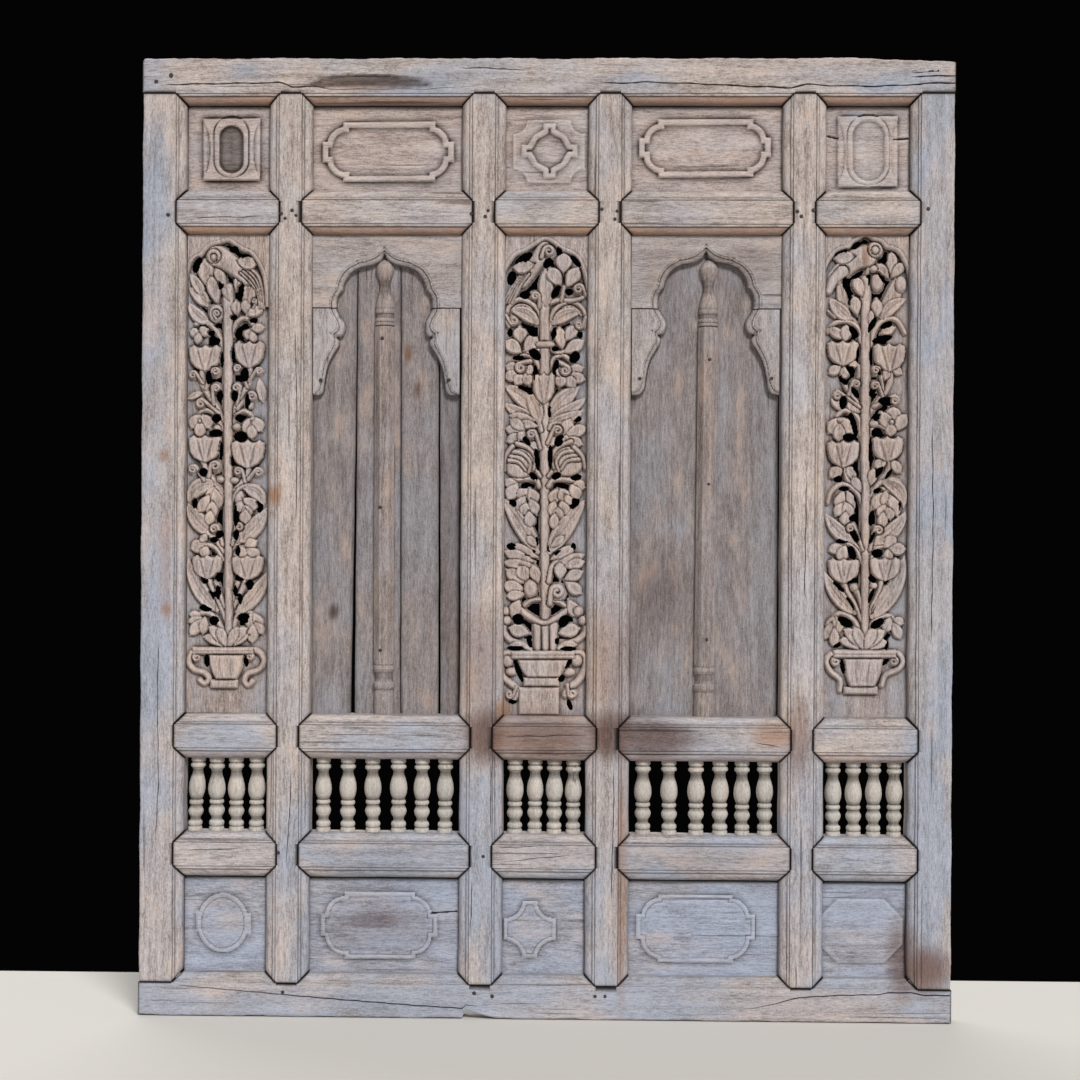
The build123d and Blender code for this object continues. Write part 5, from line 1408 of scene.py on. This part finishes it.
# Backing boards: plain upright planks behind the two arches, shrunk so that dark gaps show between them.
# They are sawn teak, let into grooves of the frame.
board_wood = weathered_wood(
    "board_wood_upright", True, pale=card(158, 149, 147), body=card(133, 124, 123),
    dark=card(102, 92, 88), silver=card(138, 138, 145), silver_share=0.6, relief=0.8,
)
window_low, window_high = rows[2]
board_face, board_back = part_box("backing_boards_2")[0].y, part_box("backing_boards_2")[1].y
board_edge_pixels = {
    "backing_boards_2": [
        ((311, 311, 310.5), (357, 355.3, 349.5)), ((358.2, 356.8, 354), (400.5, 400.5, 400)),
        ((401.5, 401.5, 401), (439.3, 439, 438.5)), ((440.6, 440.8, 441), (460.5, 460.3, 459)),
    ],
    "backing_boards_4": [((632.5, 632, 631.5), (709.5, 710, 710)), ((710.5, 711, 711), (783, 781.5, 779.5))],
}
board_mark_pixels = (236, 400, 717)
board_waver, plank_lines = 0.4 * mm, 160


def joined(pieces):
    """Joins pieces into the first of them."""
    bpy.ops.object.select_all(action="DESELECT")
    for piece in pieces:
        piece.select_set(True)
    bpy.context.view_layer.objects.active = pieces[0]
    bpy.ops.object.join()
    return pieces[0]


for bay_number, (node, edges) in enumerate(board_edge_pixels.items()):
    planks = []
    for plank_number, (left_edge, right_edge) in enumerate(edges):
        seed = 600 + 10 * bay_number + plank_number
        along = np.linspace(window_low, window_high, plank_lines)
        down = to_photo(0 * along, along)[1]
        left = from_photo(np.interp(down, board_mark_pixels, left_edge), down)[0]
        right = from_photo(np.interp(down, board_mark_pixels, right_edge), down)[0]
        bay_left, bay_right = bays[1 + 2 * bay_number]
        left = np.maximum(left, bay_left) + board_waver * dapple(along, 0 * along, seed, 0.2, 1)
        right = np.minimum(right, bay_right) + board_waver * dapple(along, 0 * along, seed + 1, 0.2, 1)
        shares = np.concatenate(([0, 0.006, 0.02], np.linspace(0.06, 0.94, 12), [0.98, 0.994, 1]))[None, :]
        x = left[:, None] + (right - left)[:, None] * shares
        z = np.broadcast_to(along[:, None], x.shape)
        edge = np.minimum(x - left[:, None], right[:, None] - x)
        fall = 1.4 * mm * np.exp(-edge / (2 * mm)) + 0.6 * mm * (1 + dapple(x, z, seed + 2, 0.08, 0.5))
        # Painted shade along both edges of each plank, beside the gaps.
        planks.append(shaped_grid(x, board_face + fall, z, 0.5 * np.exp(-edge / (3 * mm)), seed))
        close_back(planks[-1], board_back)
    fitted(joined(planks), node + "_planks", board_wood, "board_wood", node)

# Blind arches: a crown board cut to a cusped ogee arch and two scrolled brackets under it, each with a
# hollow moulding and two scored lines along the curve. They are planted on the backing boards.
arch_pitch = 1.9 * mm
bracket_reach, bracket_top_gap = 80 * mm, 1.6 * mm
bracket_left_gap, bracket_right_gap = 1.5 * mm, 4 * mm
inner_curve_pixels = [
    [(385, 253.5), (381, 258.5), (375, 262), (368, 264), (361, 265.5)],
    [(361, 265.5), (354, 269), (348.5, 274.5), (345, 281), (343.3, 288)],
    [(343.3, 288), (339.6, 292.5), (337.6, 298), (337.4, 308)],
    [(337.4, 308), (341, 314.5), (344.6, 320.5), (345.6, 326), (344, 331.5), (341, 334.8), (337.6, 336)],
    [(337.6, 336), (339.8, 340), (338.8, 345), (335, 351), (330, 360), (327, 369), (325, 380), (323.7, 389),
     (320, 394.5), (315, 396.5), (309, 396.5)],
]
outer_curve_pixels = [
    [(385, 240.5), (383, 246), (379, 250.5), (372, 254.5), (364, 257), (355.5, 258)],
    [(355.5, 260), (347, 264), (340.5, 270.5), (336.5, 278), (334.5, 287)],
    [(334.5, 287), (331, 291.5), (328.8, 297), (328.2, 308)],
    [(328.2, 308), (331, 314), (334.6, 320), (335.4, 325.5), (333, 329.5), (327.5, 330.5)],
    [(327.5, 330.5), (331.5, 335), (332.3, 340), (330, 346), (324, 357.5), (321, 367.5), (319.5, 380),
     (315, 389.5), (308, 393)],
]
arch_middle_pixels = {2: (385, 0), 4: (708.5, -1.5)}
arch_profile = [
    (0, -10), (0.08, -9), (0.25, -6.6), (0.45, -5), (0.6, -4.4), (0.66, -4.6), (0.7, -1.8), (0.8, -1.4),
    (0.86, -3), (0.92, -1.2), (1, -0.2),
]
arch_wood = weathered_wood(
    "arch_wood_across", False, pale=card(188, 179, 176), body=card(162, 152, 149),
    dark=card(122, 108, 102), silver=card(164, 165, 172), silver_share=0.6, relief=0.7,
)
bracket_wood = weathered_wood(
    "arch_wood_upright", True, pale=card(188, 179, 176), body=card(162, 152, 149),
    dark=card(122, 108, 102), silver=card(164, 165, 172), silver_share=0.6, relief=0.7,
)
inner_left = np.concatenate([smooth_curve(part) for part in inner_curve_pixels])
outer_left = np.concatenate([smooth_curve(part) for part in outer_curve_pixels])
for number, (middle, rise) in arch_middle_pixels.items():
    node_crown, node_brackets = "arch_crown_" + str(number), "arch_brackets_" + str(number)
    left, right = bays[number - 1]
    arch_face, arch_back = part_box(node_crown)[0].y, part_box(node_crown)[1].y
    crown_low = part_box(node_crown)[0].z
    curves = []
    for half_curve in (inner_left, outer_left):
        curve = half_curve - (inner_curve_pixels[0][0][0] - middle, -rise)
        mirrored = curve * (-1, 1) + (2 * middle, 0)
        curves.append(np.concatenate((curve[::-1], mirrored[1:])))
    outlines = []
    for curve in curves:
        first, last = curve[0], curve[-1]
        far_left, far_right, far_down = first[0] - 30, last[0] + 30, 500
        below = [(far_right, last[1]), (far_right, far_down), (far_left, far_down), (far_left, first[1])]
        outlines.append(np.concatenate((curve, below)))

    def arch_board(span_x, span_z, seed):
        """One board of the arch, cut and moulded along the curve."""
        carving = Carving(span_x, span_z, arch_pitch)
        far, beyond = (distance_to(carving.across, carving.down, curve)[0] for curve in curves)
        opening, banded = (inside_shape(carving.across, carving.down, outline) for outline in outlines)
        carving.open = np.where(opening, far, -far) - 0.05
        place = np.where(banded, far / np.maximum(far + beyond, 0.01), 1)
        depths, heights = zip(*arch_profile)
        carving.height = np.where(opening, heights[0], np.interp(place, depths, heights))
        # Painted shade in the hollow moulding, darkest at the inner curve, and along the scored line.
        scored = banded * np.exp(-(((place - 0.68) / 0.05) ** 2))
        carving.grime = 0.3 * np.clip(1 - place / 0.8, 0, 1) + 0.5 * scored
        return carving.board(arch_face, arch_back, seed, shade_spread=2.0)

    crown = arch_board((left, right), (crown_low, window_high), 700 + number)
    fitted(crown, node_crown + "_board", arch_wood, "arch_wood", node_crown)
    bracket_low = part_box(node_brackets)[0].z
    bracket_span = (bracket_low, crown_low - bracket_top_gap)
    brackets = [
        arch_board((left + bracket_left_gap, left + bracket_reach), bracket_span, 710 + number),
        arch_board((right - bracket_reach, right - bracket_right_gap), bracket_span, 720 + number),
    ]
    fitted(joined(brackets), node_brackets + "_scrolls", bracket_wood, "arch_wood", node_brackets)

# Half columns: an eight-sided shaft with a gadrooned bud and turned rings over it and rings at its foot.
# Each is split lengthwise from one turning and nailed to the boards, and it leans a little.
column_wood = weathered_wood(
    "column_wood_upright", True, pale=card(174, 160, 154), body=card(145, 131, 126),
    dark=card(106, 91, 84), silver=card(150, 148, 153), silver_share=0.4, relief=0.7,
)
column_profile_pixels = [
    (257.5, 0.4), (258.5, 2.6), (260, 4.8), (263, 7.6), (267, 9.2), (271, 9.2), (275, 8), (280, 6.2),
    (285, 5.5), (290, 6), (296, 7.6), (302, 9), (306, 9.6), (308, 9.2), (308.6, 9.6), (310.5, 10),
    (312.4, 9.6), (313.2, 8.6), (317.2, 8.6), (318, 9.4), (319.5, 10), (321, 9.8), (321.6, 9.2),
    (322.4, 10), (324.4, 10), (325.3, 8.4), (326.4, 9.6), (330, 9.8), (662, 10), (667, 10), (668, 9.6),
    (669, 10.6), (672, 10.9), (674, 10), (676, 8.8), (681, 8.6), (685, 9.4), (686, 10.6), (690, 10.8),
    (692, 10), (693, 9.4), (695, 9.9), (717.6, 10.2),
]
shaft_span_pixels, gadroon_end_pixel = (326, 667), 306
column_lean_pixels = {2: (385, 383.6), 4: (711.5, 706)}
for number, (head_pixel, foot_pixel) in column_lean_pixels.items():
    node = "half_column_" + str(number)
    column_low, column_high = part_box(node)
    marks, halves = np.array(column_profile_pixels).T
    steps = []
    for start, stop in zip(marks, marks[1:]):
        steps.append(np.linspace(start, stop, max(2, round((stop - start) / 14)), endpoint=False))
    steps = np.append(np.concatenate(steps), marks[-1])
    radius = np.interp(steps, marks, halves)[:, None] * photo_pixel_size
    angle = np.linspace(0, math.pi, 41)[None, :]
    facet = 1 / np.cos((angle + math.pi / 8) % (math.pi / 4) - math.pi / 8)
    eight_sided = ((steps > shaft_span_pixels[0]) & (steps < shaft_span_pixels[1]))[:, None]
    gadroons = np.where(steps[:, None] < gadroon_end_pixel, 1 + 0.05 * np.abs(np.cos(4 * angle)) - 0.03, 1)
    reach = radius * np.where(eight_sided, facet * 0.985, gadroons)
    middle = from_photo(np.interp(steps, (marks[0], marks[-1]), (head_pixel, foot_pixel)), steps)
    top_z = middle[1][0]
    height_share = (middle[1] - middle[1][-1]) / (top_z - middle[1][-1])
    z = column_low.z + height_share[:, None] * (column_high.z - column_low.z) + 0 * angle
    x = middle[0][:, None] + reach * np.cos(angle)
    depth_limit = column_high.y - column_low.y
    y = board_face - np.minimum(reach * np.sin(angle), depth_limit * 1.1) * 0.98
    # Painted shade in the turned grooves and painted highlight on the rings.
    grooves = blurred(reach, 2.0) - reach
    cavity = np.clip(grooves / (2.6 * mm), -0.3, 0.6)
    column = shaped_grid(x, y, z, cavity, 800 + number)
    close_back(column, board_face, 28)
    fitted(column, node + "_shaft", column_wood, "column_wood", node)

# Balusters: short turned posts of a paler wood that stand between two rails, in the row below the windows.
# The first one of the first bay has slipped and leans.
baluster_wood = weathered_wood(
    "baluster_wood_upright", True, pale=card(201, 194, 186), body=card(180, 172, 163),
    dark=card(151, 142, 133), silver=card(177, 173, 168), silver_share=0.4, relief=0.4,
)
baluster_profile_pixels = [
    (761, 7.4), (765, 7.5), (766, 6.4), (767, 6.2), (768, 7.4), (769.5, 7.9), (771, 7.6), (772, 6.2),
    (774.5, 5.2), (778, 5.6), (782, 7), (787, 8.3), (792, 8.7), (796, 8.2), (800, 6.8), (802.5, 5.8),
    (803.4, 6.8), (805, 7.4), (806.6, 6.9), (807.5, 5.7), (809.5, 6.3), (812, 7.7), (814, 8),
    (816.5, 7.3), (819, 5.7), (821, 5.1), (823, 5.6), (824, 7), (826, 7.6), (828, 7.1), (829, 6.3),
    (830, 7.3), (833.5, 7.5),
]
baluster_place_shares = [
    (0.13, 0.375, 0.615, 0.865), (0.085, 0.25, 0.417, 0.59, 0.747, 0.903), (0.145, 0.39, 0.625, 0.855),
    (0.095, 0.27, 0.45, 0.61, 0.757, 0.907), (0.13, 0.376, 0.62, 0.868),
]
turning_mark_pixels = [761, 767, 785, 810, 829, 833.5]
baluster_middle = 5 * mm
leaning_baluster, leaning_reach = (0, 0), 8 * mm
low, high = rows[1]
marks, halves = np.array(baluster_profile_pixels).T
for bay_number, shares in enumerate(baluster_place_shares):
    posts = []
    for post_number, share in enumerate(shares):
        seed = 900 + 10 * bay_number + post_number
        draw = np.random.default_rng(seed)
        uneven = [0, draw.uniform(-0.6, 0.6), draw.uniform(-1.5, 1.5), draw.uniform(-1.2, 1.2), 0, 0]
        moved = np.interp(marks, turning_mark_pixels, np.add(turning_mark_pixels, uneven))
        height_share = (moved[-1] - moved) / (moved[-1] - moved[0])
        z = low + (high - low) * height_share[:, None]
        radius = halves[:, None] * photo_pixel_size * draw.uniform(0.95, 1.02)
        angle = np.linspace(0, 2 * math.pi, 25)[None, :]
        middle = bays[bay_number][0] + share * (bays[bay_number][1] - bays[bay_number][0])
        leans = (bay_number, post_number) == leaning_baluster
        lean = leaning_reach if leans else draw.uniform(-1.2, 1.2) * mm
        x = middle + lean * (height_share[:, None] - 0.5) + radius * np.cos(angle)
        y = baluster_middle + radius * np.sin(angle)
        # Painted shade in the turned grooves and painted highlight on the beads.
        grooves = np.convolve(np.pad(halves, 2, "edge"), np.ones(5) / 5, "valid")
        cavity = np.clip((grooves - halves) / 1.6, -0.3, 0.8)[:, None] + 0 * angle
        post = shaped_grid(x, y, z + 0 * angle, cavity, seed)
        bpy.ops.object.mode_set(mode="EDIT")
        bpy.ops.mesh.select_all(action="SELECT")
        bpy.ops.mesh.remove_doubles(threshold=0.05 * mm)
        bpy.ops.mesh.fill_holes(sides=0)
        bpy.ops.mesh.select_all(action="SELECT")
        bpy.ops.mesh.normals_make_consistent(inside=False)
        bpy.ops.object.mode_set(mode="OBJECT")
        bpy.ops.object.shade_smooth_by_angle(angle=math.radians(42))
        posts.append(post)
    node = "balusters_" + str(bay_number + 1)
    fitted(joined(posts), node + "_turned", baluster_wood, "baluster_wood", node)

# Nails: hand-forged iron heads, rusted nearly black, that hold the rails, arches and columns.
# They were driven flush and stand a little proud where the wood has shrunk.
iron = bpy.data.materials.new("nail_iron")
iron.use_nodes = True
iron_shader = iron.node_tree.nodes["Principled BSDF"]
iron_start = Shade(iron.node_tree)
iron_place = iron_start.node("ShaderNodeTexCoord", output="Object")
rust = iron_start.node("ShaderNodeTexNoise", inputs={"Vector": iron_place, "Scale": 500.0, "Detail": 3.0})
rust_stops = [(0.4, card(36, 32, 32)), (0.62, card(72, 57, 50))]
iron_colour = iron_start.node("ShaderNodeValToRGB", {"stops": rust_stops}, {"Fac": rust})
iron_bump = iron_start.node("ShaderNodeBump", inputs={"Strength": 0.4, "Distance": 0.6 * mm, "Height": rust})
iron.node_tree.links.new(iron_colour.socket, iron_shader.inputs["Base Color"])
iron.node_tree.links.new((rust * 0.3 + 0.6).socket, iron_shader.inputs["Roughness"])
iron.node_tree.links.new(iron_bump.socket, iron_shader.inputs["Normal"])
nail_radius, nail_proud, nail_sunk = 4.6 * mm, 1.2 * mm, 3 * mm
frame_nail_pixels = [
    (168, 213), (282, 212), (293, 209), (286, 217), (297, 214), (473, 213), (487, 216), (490, 210),
    (604, 209), (619, 211), (617, 219), (799, 212), (803, 217), (815, 211), (929, 210), (279, 854),
    (485, 857), (171, 73), (156, 79), (283.5, 994), (476, 994), (597, 996.5), (607, 996.5), (494, 997),
]
bracket_nail_pixels = [(321, 379), (450, 379), (642, 378), (774, 378)]
column_nail_pixels = [(383, 337), (381, 507), (381, 651), (712, 359), (711, 484), (709, 640)]
shaft_reach = 21 * mm
shaft_face = board_face - shaft_reach
bpy.ops.object.select_all(action="DESELECT")
bpy.ops.mesh.primitive_uv_sphere_add(segments=14, ring_count=8, radius=1)
nail_pattern = bpy.context.object
ball = np.empty(3 * len(nail_pattern.data.vertices))
nail_pattern.data.vertices.foreach_get("co", ball)
ball = ball.reshape(-1, 3)
bracket_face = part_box("arch_brackets_2")[0].y
for group, pixels, face in (
    ("frame_nails", frame_nail_pixels, front), ("arch_nails", bracket_nail_pixels, bracket_face),
    ("column_nails", column_nail_pixels, shaft_face),
):
    heads = []
    for number, pixel in enumerate(pixels):
        draw = np.random.default_rng(1000 + number)
        nail = nail_pattern.copy()
        nail.data = nail_pattern.data.copy()
        bpy.context.collection.objects.link(nail)
        x, z = from_photo(*pixel)
        depth = np.where(ball[:, 1] < 0, ball[:, 1] * nail_proud, ball[:, 1] * nail_sunk)
        size = nail_radius * draw.uniform(0.8, 1.15)
        squash = draw.uniform(0.85, 1.1)
        places = np.stack((x + ball[:, 0] * size, face + depth, z + ball[:, 2] * size * squash), axis=-1)
        nail.data.vertices.foreach_set("co", places.ravel())
        heads.append(nail)
    nails = joined(heads)
    bpy.ops.object.shade_smooth_by_angle(angle=math.radians(50))
    nails.name = group
    nails.data.name = group
    nails.data.materials.clear()
    nails.data.materials.append(iron)
    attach(nails, "root")
bpy.data.objects.remove(nail_pattern)

# Plain stage: a pale floor that ends just behind the screen, a soft key sun, a dimmer sun from behind,
# and a dim surround that shows dark to the camera.
floor_half_width, floor_front, floor_rear = 3.2, -3.6, 0.42
bpy.ops.object.select_all(action="DESELECT")
bpy.ops.mesh.primitive_plane_add(size=2, location=(0, 0, 0))
floor = bpy.context.object
floor.name = "studio_floor"
corners = [(-1, floor_front), (1, floor_front), (-1, floor_rear), (1, floor_rear)]
for vertex, (side, depth_place) in zip(floor.data.vertices, corners):
    vertex.co = (side * floor_half_width, depth_place, cad_low.z)
floor_paint = bpy.data.materials.new("floor_paint")
floor_paint.use_nodes = True
floor_shader = floor_paint.node_tree.nodes["Principled BSDF"]
floor_shader.inputs["Base Color"].default_value = card(206, 202, 196)
floor_shader.inputs["Roughness"].default_value = 0.85
floor.data.materials.append(floor_paint)

world = bpy.data.worlds.new("studio")
bpy.context.scene.world = world
world.use_nodes = True
world_tree = world.node_tree
backdrop = world_tree.nodes["Background"]
fill_light = world_tree.nodes.new("ShaderNodeBackground")
fill_light.inputs["Color"].default_value = (1.0, 0.99, 0.98, 1)
fill_light.inputs["Strength"].default_value = 0.34
backdrop.inputs["Color"].default_value = (0.0012, 0.0012, 0.0012, 1)
rays = world_tree.nodes.new("ShaderNodeLightPath")
chosen = world_tree.nodes.new("ShaderNodeMixShader")
world_tree.links.new(rays.outputs["Is Camera Ray"], chosen.inputs[0])
world_tree.links.new(fill_light.outputs[0], chosen.inputs[1])
world_tree.links.new(backdrop.outputs[0], chosen.inputs[2])
world_tree.links.new(chosen.outputs[0], world_tree.nodes["World Output"].inputs["Surface"])
for name, strength, angle, lean, turn in (("key_sun", 2.9, 18, 50, 22), ("rear_sun", 1.1, 60, 50, 200)):
    bpy.ops.object.light_add(type="SUN", rotation=(math.radians(lean), 0, math.radians(turn)))
    lamp = bpy.context.object
    lamp.name = name
    lamp.data.energy = strength
    lamp.data.angle = math.radians(angle)

# Camera: level with the middle of the screen, a little to its right, as the photo was taken.
camera_distance, camera_turn = 4.5, 1.4
camera_pixel_size, camera_shift_pixels = 2.199 * mm, 2
photo_pixels = 1080
focal_pixels = camera_distance / camera_pixel_size
screen_middle = ((cad_low.x + cad_high.x) / 2, front, (cad_low.z + cad_high.z) / 2)
turn = math.radians(camera_turn)
bpy.ops.object.camera_add(
    location=(
        screen_middle[0] + camera_distance * math.sin(turn),
        screen_middle[1] - camera_distance * math.cos(turn),
        screen_middle[2],
    ),
    rotation=(math.pi / 2, 0, turn),
)
camera = bpy.context.object
camera.rotation_euler.rotate_axis("Z", photo_roll)
camera.data.sensor_width = 36
camera.data.lens = focal_pixels / photo_pixels * camera.data.sensor_width
camera.data.shift_x = -(photo_middle_pixel[0] - camera_shift_pixels - photo_pixels / 2) / photo_pixels
camera.data.shift_y = (photo_middle_pixel[1] - photo_pixels / 2) / photo_pixels
bpy.context.scene.camera = camera
bpy.context.scene.view_settings.view_transform = "Standard"
